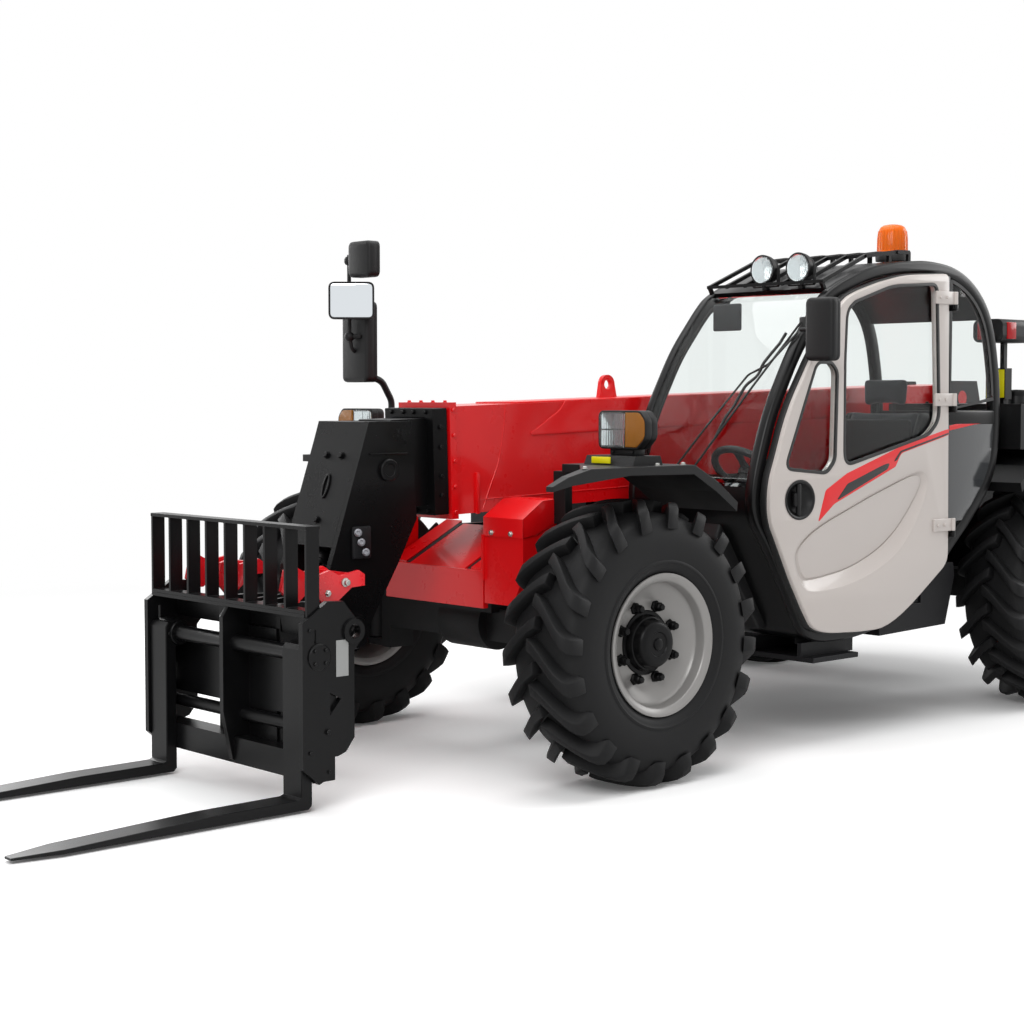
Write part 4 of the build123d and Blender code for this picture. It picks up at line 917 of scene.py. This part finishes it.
# ------------------------------------------------------------------ driving controls
# Soft-touch moulded dash with a dark display, a three-spoke wheel on a tilting column, and a joystick in a rubber
# boot on the side console. All black polymer; the wheel's rim is smooth leatherette, the display glossy.
wheel_at, wheel_aim = (520, 972, 1052), (0, 0.653, 0.757)
rim_ring = [(15 * math.sin(i * math.pi / 6), 150 + 15 * math.cos(i * math.pi / 6)) for i in range(12)]
grips = [turned(rim_ring, 60)]
for k in range(3):
    spoke = lofted([[(x, w, z) for x, w in ((-5, -h), (-5, h), (5, h), (5, -h))]
                    for h, z in ((24, 18), (15, 80), (20, 143))])
    spoke = softened(spoke, 2.5)
    spoke.transform(Matrix.Rotation(math.radians(60 + 120 * k), 4, "X"))
    grips.append(spoke)
grips.append(turned([(-22, 0), (-22, 38), (-6, 44), (8, 42), (14, 34), (16, 0)], 40))
steering = [aimed(m, wheel_aim, wheel_at) for m in grips]
steering.append(pipe([(520, 862, 924), (520, 958, 1036)], 30))
for i in range(6):
    t = i / 5
    steering.append(aimed(turned([(-8, 28), (0, 40 - 4 * t), (8, 28)], 28), wheel_aim,
                          (520, 868 + 62 * t, 930 + 72 * t)))
assembled("steering_wheel", steering, "chassis", seat_vinyl, "black_plastic", "controls", angle=40.0)
dash_loop = rounded([(870, 450), (620, 814), (660, 905), (700, 935), (820, 938), (862, 905), (960, 720),
                     (940, 450)], 30)
dash = [plate([dash_loop], 380, 660, 12), bar(238, 284, 1040, 1560, 441, 800, 14, 3),
        bar(232, 292, 1100, 1600, 790, 822, 12, 3), bar(470, 570, 800, 872, 930, 962, 8, 3)]
lever = turned([(0, 0), (0, 34), (10, 34), (14, 27), (22, 31), (30, 23), (38, 27), (48, 18), (60, 14), (62, 0)], 28)
dash.append(aimed(lever, up, (262, 1330, 820)))
sixteenths = [i * math.pi / 8 for i in range(16)]
dash.append(lofted([[(262 + r * math.cos(a), 1328 + lean + r * 1.25 * math.sin(a), z) for a in sixteenths]
                    for r, lean, z in ((9, 0, 878), (17, 0, 892), (20, -2, 920), (17, -4, 950), (22, -8, 975),
                                       (20, -10, 990), (8, -11, 998))]))
for x in (254, 270):
    dash.append(aimed(turned([(0, 0), (0, 5), (4, 4), (4, 0)], 14), (0, -0.4, 0.9), (x, 1312, 994)))
for side in (-1, 1):
    dash.append(pipe([(520 + side * dx, y, z) for dx, y, z in ((80, 880, 980), (95, 930, 1010), (102, 985, 1022))], 6))
for x0 in (420, 520, 590):
    dash.append(softened(lofted([[(x0, 905, z), (x0 + 52, 905, z), (x0 + 52, 925, z + 64), (x0, 925, z + 64)]
                                 for z in (478, 486)]), 3))
assembled("dash_and_console", dash, "chassis", moulded_black, "black_plastic")
display = bar(-52, 52, -34, 34, -6, 6, 3, 2)
display.transform(Matrix.Translation((0.52, 0.838, 0.99)) @ Matrix.Rotation(math.radians(52), 4, "X"))
screen_gloss = painted("display_gloss_black", "#10181C", 0.08, coat=0.8, cloud=0.02, depth=0.0)
assembled("dash_display", [display], "chassis", screen_gloss, "glass")

# ------------------------------------------------------------------ roof guard and work lamps
# Welded slats over the roof glass keep falling loads off the driver; two round lamps stand on the front header.
# The guard is powder coated; each lamp has a ribbed alloy body, a bright reflector and a clear lens.
dressed(satin_black, 2, "roof_guard")
lamp_body = turned([(-34, 0), (-34, 28), (-28, 42), (-24, 42), (-24, 49), (-20, 49), (-20, 43), (-14, 43), (-14, 52),
                    (-10, 52), (-10, 46), (-4, 46), (0, 57), (20, 60), (26, 60), (26, 55), (14, 53), (14, 0)], 44)
lamp_bowl = turned([(15, 0), (15, 12), (17, 30), (22, 45), (24.5, 53), (25, 53), (22.8, 44), (15.5, 9)], 44)
lamp_glass = turned([(24, 0), (24, 54), (26.5, 54), (28.5, 30), (29, 0)], 44)
bodies, bowls, glasses = [], [], []
for x in (500, 682):
    lamp_at = (x, 1090, 1861)
    bodies.append(aimed(lamp_body, ahead, lamp_at))
    bodies.append(bar(x - 12, x + 12, 1080, 1100, 1780, 1796, 2, 2))
    stirrup = [(x - 66, 1799), (x - 60, 1792), (x + 60, 1792), (x + 66, 1799), (x + 66, 1868), (x + 61, 1868),
               (x + 61, 1797), (x - 61, 1797), (x - 61, 1868), (x - 66, 1868)]
    bodies.append(plate([stirrup], 1082, 1098, 1, "Y"))
    bowls.append(aimed(lamp_bowl, ahead, lamp_at))
    glasses.append(aimed(lamp_glass, ahead, lamp_at))

# ------------------------------------------------------------------ headlamps
# Moulded housings on the mudguard plinths. Each holds four square lamp cups in bright metallised plastic behind a
# clear cover, and an amber turn lamp at its outer side. The housing is black with a proud rim.
body_loop = rounded([(656, 1172, 26), (850, 1172, 26), (892, 1212, 40), (892, 1276, 40), (862, 1308, 30),
                     (656, 1308, 26)])
face_loop = rounded([(664, 1180, 20), (846, 1180, 20), (884, 1214, 36), (884, 1272, 36), (858, 1300, 26),
                     (664, 1300, 20)])
front_housings = [plate([body_loop], 22, 62, 10, "Y"), plate([body_loop, face_loop], -3, 28, 3, "Y"),
                  bar(700, 830, 12, 58, 1150, 1176, 4, 2), bar(786, 792, 2, 24, 1180, 1300, 1, 1)]
for x, z in ((716, 1154), (814, 1154)):
    front_housings.append(bolt(6, ahead, (x, 12, z + 8)))
cups, chips = [], []
for x in (670, 729):
    for z in (1185, 1243):
        cups.append(lofted([[(x, y0, z), (x + 54, y0, z), (x + 54, y0, z + 53), (x, y0, z + 53)] if k in (0, 3) else
                            [(x + 15, y0, z + 14), (x + 39, y0, z + 14), (x + 39, y0, z + 38), (x + 15, y0, z + 38)]
                            for k, y0 in enumerate((2, 17, 20, 21.8))]))
        chips.append(aimed(turned([(0, 0), (0, 8), (4, 7), (6, 3), (6.3, 0)], 16), ahead, (x + 27, 17, z + 26)))
clear_loop = rounded([(663, 1179, 20), (785, 1179, 2), (785, 1301, 2), (663, 1301, 20)])
amber_loop = rounded([(791, 1179, 2), (846, 1179, 20), (885, 1213, 36), (885, 1273, 36), (858, 1301, 26),
                      (791, 1301, 2)])
clear_face = plate([clear_loop], -5.5, -1, 2, "Y")
amber_face = plate([amber_loop], -5.5, 4, 3, "Y")
bright = painted("metallised_reflector", "#E9ECEE", 0.12, cloud=0.03, metal=0.95, depth=0.05, peel=0.004)


def moulded_lens(name, colour, flute, rough=0.08, see=0.75):
    """Clear or coloured lens plastic with moulded flutes of a width in metres."""
    material, tree = new_material(name)
    place = add(tree, "ShaderNodeTexCoord")
    flutes = add(tree, "ShaderNodeTexWave", {"Scale": 0.31 / flute, "bands_direction": "X"},
                 {"Vector": (place, "Object")})
    haze = noise(tree, place, 30.0, 3.0)
    dull = ranged(tree, (haze, 0), rough * 0.6, rough * 1.6)
    bump = bumped(tree, (flutes, 1), 0.35, 0.0012)
    skin = add(tree, "ShaderNodeBsdfPrincipled", {"Base Color": linear(colour), "Transmission Weight": see, "IOR": 1.3},
               {"Roughness": (dull, 0), "Normal": (bump, 0)})
    add(tree, "ShaderNodeOutputMaterial", links={"Surface": (skin, 0)})
    return material


clear_lens = moulded_lens("clear_lens_plastic", "#F4F8F8", 0.012, 0.03, 0.95)
amber_lens = moulded_lens("amber_lens_plastic", "#B97A2C", 0.007, 0.12, 0.45)
beacon_amber = moulded_lens("amber_beacon_dome", "#FF7D14", 0.009, 0.1, 0.3)
red_lens = moulded_lens("red_lens_plastic", "#C4141A", 0.006, 0.14, 0.3)
assembled("lamp_bodies", two_sided(front_housings) + bodies, "chassis", moulded_black, "black_plastic", "lamp_housings")
assembled("lamp_reflectors", two_sided(cups) + bowls, "chassis", bright, "chrome_rod", angle=20.0)
assembled("lamp_chips", two_sided(chips), "chassis", painted("phosphor_chip_yellow", "#E8D27A", 0.4), "clear_lens")
assembled("headlamp_covers", two_sided([clear_face]) + glasses, "chassis", clear_lens, "clear_lens", "lamp_lenses")
assembled("turn_lamps", two_sided([amber_face]), "chassis", amber_lens, "amber_lens")

# ------------------------------------------------------------------ beacon
# Warning beacon on the cab roof: an amber polycarbonate dome with moulded ribs, screwed on a black rubber foot.
# A bright mirror turns inside it and catches the light through the dome.
dome = [(0, 62), (4, 65), (6, 65), (8, 62), (60, 61), (92, 57), (106, 50), (114, 38), (118, 16), (118, 0), (114, 0),
        (111, 14), (103, 44), (90, 52), (60, 57), (10, 58), (0, 58)]
foot = turned([(-34, 0), (-34, 68), (-14, 70), (-6, 68), (0, 66), (3, 66), (3, 0)], 40)
rib = lofted([[(x, -2.0, 58), (x, 2.0, 58), (x, 1.4, r), (x, -1.4, r)]
              for x, r in ((10, 63.5), (60, 62.6), (90, 59.2))])
dome_ribs = 24
ribs = repeated(rib, beacon_amber, dome_ribs, turn=(360 / dome_ribs, 0, 0))
spot = (670, 1690, 1950)
assembled("beacon_dome", [aimed(turned(dome, 48), up, spot), aimed(ribs, up, spot)], "chassis", beacon_amber,
          "amber_lens", "beacon")
assembled("beacon_foot", [aimed(foot, up, spot)], "chassis", window_rubber, "black_plastic")
mirror_plate = softened(lofted([[(4, -22, z), (4, 22, z), (60, 20, z + 6), (60, -20, z + 6)] for z in (-4, 0)]), 1.0)
hub = turned([(2, 0), (2, 12), (30, 10), (34, 0)], 20)
assembled("beacon_mirror", [aimed(mirror_plate, up, spot), aimed(hub, up, spot)], "chassis", bright, "chrome_rod")

# ------------------------------------------------------------------ mirrors
# Moulded black shells on bent steel tube, each with a silvered glass. The left one clips to the cab's front pillar;
# a tall one, a small high one and a kerb mirror turned to the driver share one arm on the right mudguard.
shells, silvers = [], []
for x0, x1, y0, y1, z0, z1 in (
    # corners of the left shell, the tall right one and the high one
    (903, 1036, 836, 886, 1490, 1727), (-790, -620, -60, -4, 1415, 1742), (-660, -515, -126, -70, 1834, 1978),
):
    outer = rounded([(x0, z0, 26), (x1, z0, 26), (x1, z1, 26), (x0, z1, 26)])
    shells.append(plate([outer], y0, y1 - 5, 14, "Y"))
    shells.append(plate([outer, shrunk(outer, 6)], y1 - 20, y1, 3, "Y"))
    silvers.append(plate([shrunk(outer, 6.5)], y1 - 6, y1 - 3, 1, "Y"))
kerb = rounded([(-92, -75, 26), (92, -75, 26), (92, 75, 26), (-92, 75, 26)])
to_viewer = Matrix.Translation((-0.635, -0.124, 1.742)) @ Matrix.Rotation(math.radians(52.3), 4, "Z")
for mesh, keep in ((plate([kerb], -14, 22, 9, "Y"), shells), (plate([kerb, shrunk(kerb, 7)], -20, -6, 3, "Y"), shells),
                   (plate([shrunk(kerb, 7.5)], -17, -13, 1, "Y"), silvers)):
    mesh.transform(to_viewer)
    keep.append(mesh)
shells.append(pipe([(850, 880, 1610), (905, 880, 1610)], 8))
shells.append(pipe([(-700, 130, 1122), (-700, 130, 1340), (-700, 80, 1420), (-700, 0, 1446)], 14, 60))
shells.append(bar(-722, -678, -24, 16, 1420, 1482, 6, 3))
shells.append(pipe([(-700, -6, 1470), (-700, -14, 1530), (-700, -74, 1545), (-700, -86, 1600), (-700, -86, 1930)],
                   8.5, 30))
for z, y in ((1600, -60), (1742, -104), (1906, -100)):
    joint = turned([(-20, 0), (-16, 14), (-6, 20), (6, 20), (16, 14), (20, 0)], 20)
    shells.append(aimed(joint, up, (-700, -86, z)))
    shells.append(pipe([(-700, -86, z), (-655, y, z)], 8))
shells.append(aimed(turned([(0, 0), (0, 30), (8, 30), (14, 20), (26, 17), (26, 0)], 24), up, (-700, 130, 1118)))
assembled("mirror_shells", shells, "chassis", moulded_black, "black_plastic", "mirrors")
assembled("mirror_glass", silvers, "chassis",
          painted("silvered_mirror_glass", "#DDE2E6", 0.03, metal=1.0, cloud=0.01, depth=0.0), "glass")

# ------------------------------------------------------------------ wipers and cab trim
# Two thin wiper arms and a blade on the curved screen, all in the black of rubber; the mirror inside the cab and
# the dark headliner, a brushed felt with no shine.
screen_line = shrunk(rail_loop, -7)


def on_screen(x, z):
    """Place on the screen's outer face at a width and a height."""
    near = min((p for p in screen_line if p[0] < 1075 and p[1] > 880), key=lambda p: abs(p[1] - z))
    return x, near[0], z


wiper_parts = []
for route in (
    # width and height along each arm, from its spindle
    ((835, 1600), (760, 1480), (660, 1440), (560, 1245), (450, 1090)),
    ((838, 1640), (790, 1560), (735, 1400), (640, 1240), (530, 1075)),
):
    wiper_parts.append(pipe([on_screen(x, z) for x, z in route], 4.5, 30))
wiper_parts.append(pipe([on_screen(780 - (1600 - z) * 0.42, z) for z in range(1600, 1180, -40)], 6, 60))
wiper_parts.append(bar(820, 848, 905, 940, 1590, 1660, 6, 2))
assembled("screen_wiper", wiper_parts, "chassis", window_rubber, "black_plastic")
liner = [plate([band(lambda p: 1120 < p[0] < 1980 and p[1] > 1690, 27, 40)], cab_x0 + 42, cab_x1 - 48, 3),
         bar(236, 384, 1068, 1084, 1622, 1732, 8, 3), pipe([(310, 1076, 1730), (310, 1110, 1775)], 7)]
assembled("headliner_and_mirror", liner, "chassis",
          painted("headliner_felt", "#303133", 0.9, depth=0.4, peel=0.0015, specular=0.1), "black_plastic")

# ------------------------------------------------------------------ engine bay, bonnet and rear cover
# The engine stands beside the boom in a folded bay under a long red bonnet; black covers shield the rear wheels.
# Cast iron is matt grey with a sand skin; the grilles are pressed black slats, and the filler cap is moulded.
cast_grey = painted("cast_iron_engine_enamel", "#4A4D50", 0.5, depth=0.4, peel=0.003, specular=0.35)
dressed(cast_grey, 8, "engine")
dressed(chassis_grey, 4, "engine_bay")
dressed(gloss_red, 8, "bonnet")
dressed(guard_black, 7, "rear_cover")


def slats(x, y0, y1, z0, count, pitch, deep):
    """A row of louvre slats on the right side or the top, one strip repeated upward."""
    strip = softened(lofted([[(x, y, z0), (x - deep, y, z0 + pitch * 0.45), (x - deep, y, z0 + pitch * 0.6),
                              (x, y, z0 + pitch * 0.15)] for y in (y0, y1)]), 1.0)
    return repeated(strip, satin_black, count, step=(0, 0, pitch))


grilles = [slats(-930, 900, 1500, 1060, 9, 24, 7), slats(-930, 1560, 2040, 1060, 9, 24, 7)]
for y0, y1 in ((880, 1520), (1540, 2060)):
    frame_loop = rounded([(y0, 1044, 14), (y1, 1044, 14), (y1, 1290, 14), (y0, 1290, 14)])
    grilles.append(plate([frame_loop, shrunk(frame_loop, 16)], -937, -929.5, 2))
assembled("bonnet_grilles", grilles, "engine_bonnet", satin_black, "black_plastic")
catches = [bar(-936, -930, y, y + 60, 1020, 1040, 2, 2) for y in (940, 1900)]
catches.append(pipe([(-620, 862, 1262), (-620, 836, 1262), (-500, 836, 1262), (-500, 862, 1262)], 8, 16))
assembled("bonnet_catches", catches, "engine_bonnet", satin_black, "black_plastic")
filler = [aimed(turned([(0, 0), (0, 44), (6, 46), (30, 46), (36, 42), (38, 0)], 12), up, (760, 2480, 1350))]
for y in (2360, 2560, 2760):
    for x in (230, 870):
        filler.append(bolt(8, up, (x, y, 1325)))
assembled("rear_cover_fittings", filler, "chassis", moulded_black, "black_plastic")
assembled("rear_marker_plate", [bar(704, 796, 2326.5, 2329.8, 1352, 1474, 1.2, 2)], "chassis", blank_yellow,
          "amber_lens")

# ------------------------------------------------------------------ rear lamps
# Moulded rear lamp blocks on the tail beam and a cluster on a post behind the cab: red and amber lens plastic side
# by side in black housings. The flutes are 6 to 7 mm wide; the housings are the same plastic as the headlamps'.
dressed(moulded_black, 4, "rear_lamps")
tail_y = (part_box("rear_lamps")[1].y - front_axle.y) * 1000
lens_red = two_sided([bar(704, 812, tail_y - 2, tail_y + 5, 1086, 1164, 3, 2)]) + [
    bar(722, 772, 2449, 2458, 1602, 1678, 6, 2), bar(722, 772, 2227, 2236, 1602, 1678, 6, 2),
    bar(846, 853, 2262, 2330, 1604, 1676, 3, 2),
]
lens_amber = two_sided([bar(815, 876, tail_y - 2, tail_y + 5, 1086, 1164, 3, 2)])
lens_amber.append(bar(776, 830, 2449, 2458, 1602, 1678, 6, 2))
assembled("rear_lamp_red", lens_red, "chassis", red_lens, "red_lens")
assembled("rear_lamp_amber", lens_amber, "chassis", amber_lens, "amber_lens")

# ------------------------------------------------------------------ telescopic boom
# Three welded box sections of folded plate on wear pads. The outer one is gloss red with a front collar, a cover
# plate along its top and upper sides, and a lifting eye; the two inner ones are black and show only at the front.
boom_pivot = Vector((0, front_axle.y + 2.9, 1.35))
boom_fall = math.radians(1.7)
pitch_turn = Matrix.Translation(boom_pivot) @ Matrix.Rotation(boom_fall, 4, "X") @ Matrix.Translation(-boom_pivot)


def on_boom(name, meshes, angle=32.0):
    """Pieces drawn on the level boom, turned to its slope about the rear pivot."""
    whole = built(name, meshes, angle)
    whole.transform(pitch_turn)
    return whole


dressed(gloss_red, 5, "boom_outer")
dressed(satin_black, 4, "boom_mid", "boom_inner")
top, low = 1414.0, 1014.0
cover = rounded([(330, top + 4, 4), (300, top - 30, 60), (180, 1318, 90), (140, 1300, 10), (150, 1290, 8),
                 (1500, 1290, 20), (2500, 1290, 40), (2560, top + 4, 4)])
skins = [plate([cover], 134.6, 138.5, 1.6), plate([cover], -138.5, -134.6, 1.6),
         bar(-120, 120, 90, 2560, top - 1, top + 6, 2, 2)]
seam_line = ((20, top - 4), (10, 1330), (-20, 1200), (-80, 1080), (-105, low + 10))
seam = [pipe([(side * 135.2, y, z) for y, z in seam_line], 2.2, 200) for side in (1, -1)]
fold = [bar(side * 135 - 2.5, side * 135 + 2.5, -120, 2900, low + 46, low + 50, 1, 1) for side in (1, -1)]
strap = [bar(side * 140 - 6, side * 140 + 6, -142, -126, low - 4, low + 150, 2, 2) for side in (1, -1)]
fitted("boom_cover_plates", on_boom("boom_cover_plates", skins + seam + fold + strap), "boom_base", gloss_red,
       "red_paint")
collar = []
for side in (1, -1):
    for z in (1026, 1120, 1214, 1308, 1402):
        collar.append(bolt(7, (side, 0, 0), (side * 150, -252, z)))
    for x in (35, 105):
        collar.append(bolt(7, up, (side * x, -252, 1429)))
fitted("boom_collar_bolts", on_boom("boom_collar_bolts", collar), "boom_base", gloss_red, "red_paint")
front_ring = []
for side in (1, -1):
    for x in (30, 100):
        front_ring.append(bolt(8, ahead, (side * x, -342, 1396)))
        front_ring.append(bolt(8, ahead, (side * x, -342, 1032)))
    for z in (1090, 1160, 1268, 1340):
        front_ring.append(bolt(8, (side, 0, 0), (side * 141, -308, z)))
fitted("boom_ring_bolts", on_boom("boom_ring_bolts", front_ring), "boom_middle", satin_black, "black_paint")

# ------------------------------------------------------------------ cylinders
# Lift and tilt cylinders: black painted barrels with a ring nut at the gland, and hard-chromed ground rods.
# The chrome is bright with fine turning marks; the paint is a thin satin coat over the drawn tube.
chrome = painted("hard_chrome_rod", "#C9CCCE", 0.12, cloud=0.02, metal=1.0, depth=0.02, peel=0.0006)
dressed(satin_black, 2, "lift_barrel", "tilt_barrel")
dressed(chrome, 1, "lift_rod", "tilt_rod")
glands = {
    # cylinder: base pin, rod pin, barrel radius, distance of the mouth from the rod pin
    "lift": ((2860, 718), (1950, 912), 55, 150),
    "tilt": ((-560, 1060), (-850, 620), 36, 170),
}
for tag, (foot_at, eye_at, r, gland) in glands.items():
    along = (Vector((0, *eye_at)) - Vector((0, *foot_at))).normalized()
    mouth = Vector((0, *eye_at)) - along * gland
    nut = turned([(-46, r - 1), (-46, r + 5), (-40, r + 8), (-14, r + 8), (-12, r + 4), (-2, r + 4), (0, r + 1),
                  (0, r - 14), (-2, r - 15), (-46, r - 15)], 48)
    assembled(tag + "_gland_nut", [aimed(nut, along, mouth)], tag + "_cylinder_barrel", satin_black, "black_paint")

# ------------------------------------------------------------------ boom head and couplers
# The goose-neck head: two thick plates and a slanted front plate, seam welded, sprayed black. Bolts, a slotted
# inspection cover, and a bracket of three steel hydraulic couplings on each side are fixed to it.
head_black = painted("black_head_enamel", "#0C0C0D", 0.28, coat=0.05, depth=0.06, peel=0.0014, specular=0.14)
dressed(head_black, 5, "boom_head")
lean, drop = 127, 374
slope = Vector((0, -lean, -drop)).normalized()
face = Vector((0, -drop, lean)).normalized()
fixings = []
for x, t in ((-44, 60), (44, 60), (0, 300)):
    fixings.append(bolt(11, face, Vector((x, -661, 1203)) + slope * t))
slot_loop = [(18 * math.cos(i * math.pi / 12), 46 * math.sin(i * math.pi / 12)) for i in range(24)]
slot_ring = plate([slot_loop, shrunk(slot_loop, 7)], -2, 6, 1.5, "X")
slot_ring.transform(Matrix(((0, 1, 0, 0), (-1, 0, 0, 0), (0, 0, 1, 0), (0, 0, 0, 1))))
slot_ring.transform(Matrix.Rotation(-math.atan2(lean, drop), 4, "X"))
slot_ring.transform(Matrix.Translation(Vector((0, -661, 1203)) / 1000 + slope * 0.175))
fixings.append(slot_ring)
for side in (1, -1):
    fixings.append(aimed(turned([(0, 0), (0, 40), (4, 40), (7, 36), (7, 24), (4, 22), (4, 0)], 36), (side, 0, 0),
                         (side * 158, -556, 1095)))
    fixings.append(aimed(turned([(0, 0), (0, 54), (3, 56), (8, 54), (10, 30), (14, 26), (14, 0)], 36), (side, 0, 0),
                         (side * 215, -750, 535)))
    fixings.append(bar(side * 154 - 4, side * 154 + 4, -640, -470, 1150, 1156, 2, 2))
assembled("boom_head_fixings", fixings, "boom_tip", head_black, "black_paint")
coupler = [(0, 0), (0, 10), (6, 10), (7, 12), (12, 12), (13, 14), (18, 14), (19, 12), (24, 12), (25, 9), (27, 9),
           (27, 6), (22, 5), (22, 0)]
brackets = [bar(150, 164, -722, -640, 786, 900, 8, 2)]
couplers = [aimed(turned(coupler, 28), (side * 0.8, -0.55, 0.2), (side * 160, y, z))
            for side in (1, -1) for y, z in ((-698, 876), (-684, 842), (-664, 806))]
assembled("coupler_brackets", two_sided(brackets), "boom_tip", chassis_grey, "grey_paint")
assembled("hose_couplers", couplers, "boom_tip", painted("steel_couplings", "#75757A", 0.34, metal=0.8), "chrome_rod")

# ------------------------------------------------------------------ fork carriage
# Welded carriage of plate and bar that hooks on the boom head: side plates with lifting eyes, a round bar that the
# forks slide on, and a guard of flat bars above. Bolted covers close the pin ends. Black enamel, worn at the edges.


def handled(name, colour, bare, rough):
    """Paint on steel that is knocked in work: bare metal shows where the form is sharp, dust dulls the rest."""
    material, tree = new_material(name)
    place = add(tree, "ShaderNodeTexCoord")
    shape = add(tree, "ShaderNodeNewGeometry")
    chip = noise(tree, place, 60.0, 6.0, 0.7)
    edge = ranged(tree, (shape, "Pointiness"), 0.0, 0.5, 0.56, 0.68)
    spots = ranged(tree, (chip, 0), 0.0, 1.0, 0.56, 0.66)
    worn = product(tree, (edge, 0), (spots, 0))
    dust = noise(tree, place, 3.0, 5.0)
    tone = ranged(tree, (dust, 0), 0.85, 1.2)
    paint = add(tree, "ShaderNodeHueSaturation", {"Color": linear(colour)}, {"Value": (tone, 0)})
    tint = add(tree, "ShaderNodeMixRGB", {2: linear(bare)}, {0: (worn, 0), 1: (paint, 0)})
    metal = add(tree, "ShaderNodeMath", {"operation": "MULTIPLY", 1: 0.8}, {0: (worn, 0)})
    dull = ranged(tree, (dust, 0), rough * 0.8, rough * 1.3)
    grain = noise(tree, place, 700.0, 1.0)
    bump = bumped(tree, (grain, 0), 0.08, 0.0015)
    skin = add(tree, "ShaderNodeBsdfPrincipled", {"Specular IOR Level": 0.2},
               {"Base Color": (tint, 0), "Metallic": (metal, 0), "Roughness": (dull, 0), "Normal": (bump, 0)})
    add(tree, "ShaderNodeOutputMaterial", links={"Surface": (skin, 0)})
    return material


carriage_black = handled("worked_black_enamel", "#0D0D0E", "#5C5A58", 0.3)
dressed(carriage_black, 4, "carriage_frame")
dressed(carriage_black, 1.5, "load_backrest")
fork_bar_y, fork_bar_z = -1108, 512
end_cap = turned([(0, 0), (0, 44), (5, 44), (8, 40), (8, 0)], 40)
covers = []
for side in (1, -1):
    covers.append(aimed(end_cap, (side, 0, 0), (side * 490, fork_bar_y, fork_bar_z)))
    for k in range(4):
        a = math.radians(45 + 90 * k)
        covers.append(bolt(6, (side, 0, 0), (side * 498, fork_bar_y + 30 * math.cos(a),
                                             fork_bar_z + 30 * math.sin(a))))
    covers.append(bolt(9, (side, 0, 0), (side * 490, -1075, 262)))
    for y, z in ((-1145, 600), (-1145, 200), (-1070, 130)):
        covers.append(bolt(6, (side, 0, 0), (side * 490, y, z)))
assembled("carriage_covers", covers, "carriage", carriage_black, "black_paint")
blank = [bar(490.2, 492.4, -1040, -990, 440, 560, 1, 1)]
assembled("carriage_blank_plates", two_sided(blank), "carriage",
          painted("blank_plate_grey", "#9A9B9A", 0.4, cloud=0.03), "door_beige")

# ------------------------------------------------------------------ quick-coupler hooks
# Two forked hooks cut from plate, welded in pairs over the carriage and painted bright red as a warning colour.
# A zinc-plated pin with a ring clip runs through each pair.
hook_red = painted("bright_red_enamel", "#EE1A26", 0.28, coat=0.4, cloud=0.04)
dressed(hook_red, 3, "coupler_hooks")
clips = []
for side in (1, -1):
    clips.append(aimed(turned([(0, 0), (0, 15), (6, 15), (9, 10), (20, 10), (22, 7), (22, 0)], 28), (side, 0, 0),
                       (side * 406, -940, 738)))
    clips.append(bolt(9, (side, 0, 0), (side * 406, -1010, 706)))
assembled("hook_pins", clips, "carriage", zinc, "chrome_rod")

# ------------------------------------------------------------------ forks
# Forged L forks with an eye on the carriage's round bar; set collars with grub screws keep them at their width.
# Black fork enamel, scuffed to steel along the blade's edges and heel.
fork_enamel = handled("scuffed_fork_enamel", "#0C0C0D", "#5A5856", 0.3)
dressed(fork_enamel, 3, "forks")
set_collar = turned([(-7, 28), (-7, 40), (-5, 42), (5, 42), (7, 40), (7, 28)], 36)
collars = [aimed(set_collar, (1, 0, 0), (354, fork_bar_y, fork_bar_z)), bolt(5, ahead, (354, -1150, fork_bar_z))]
assembled("fork_collars", two_sided(collars), "carriage", carriage_black, "black_paint")
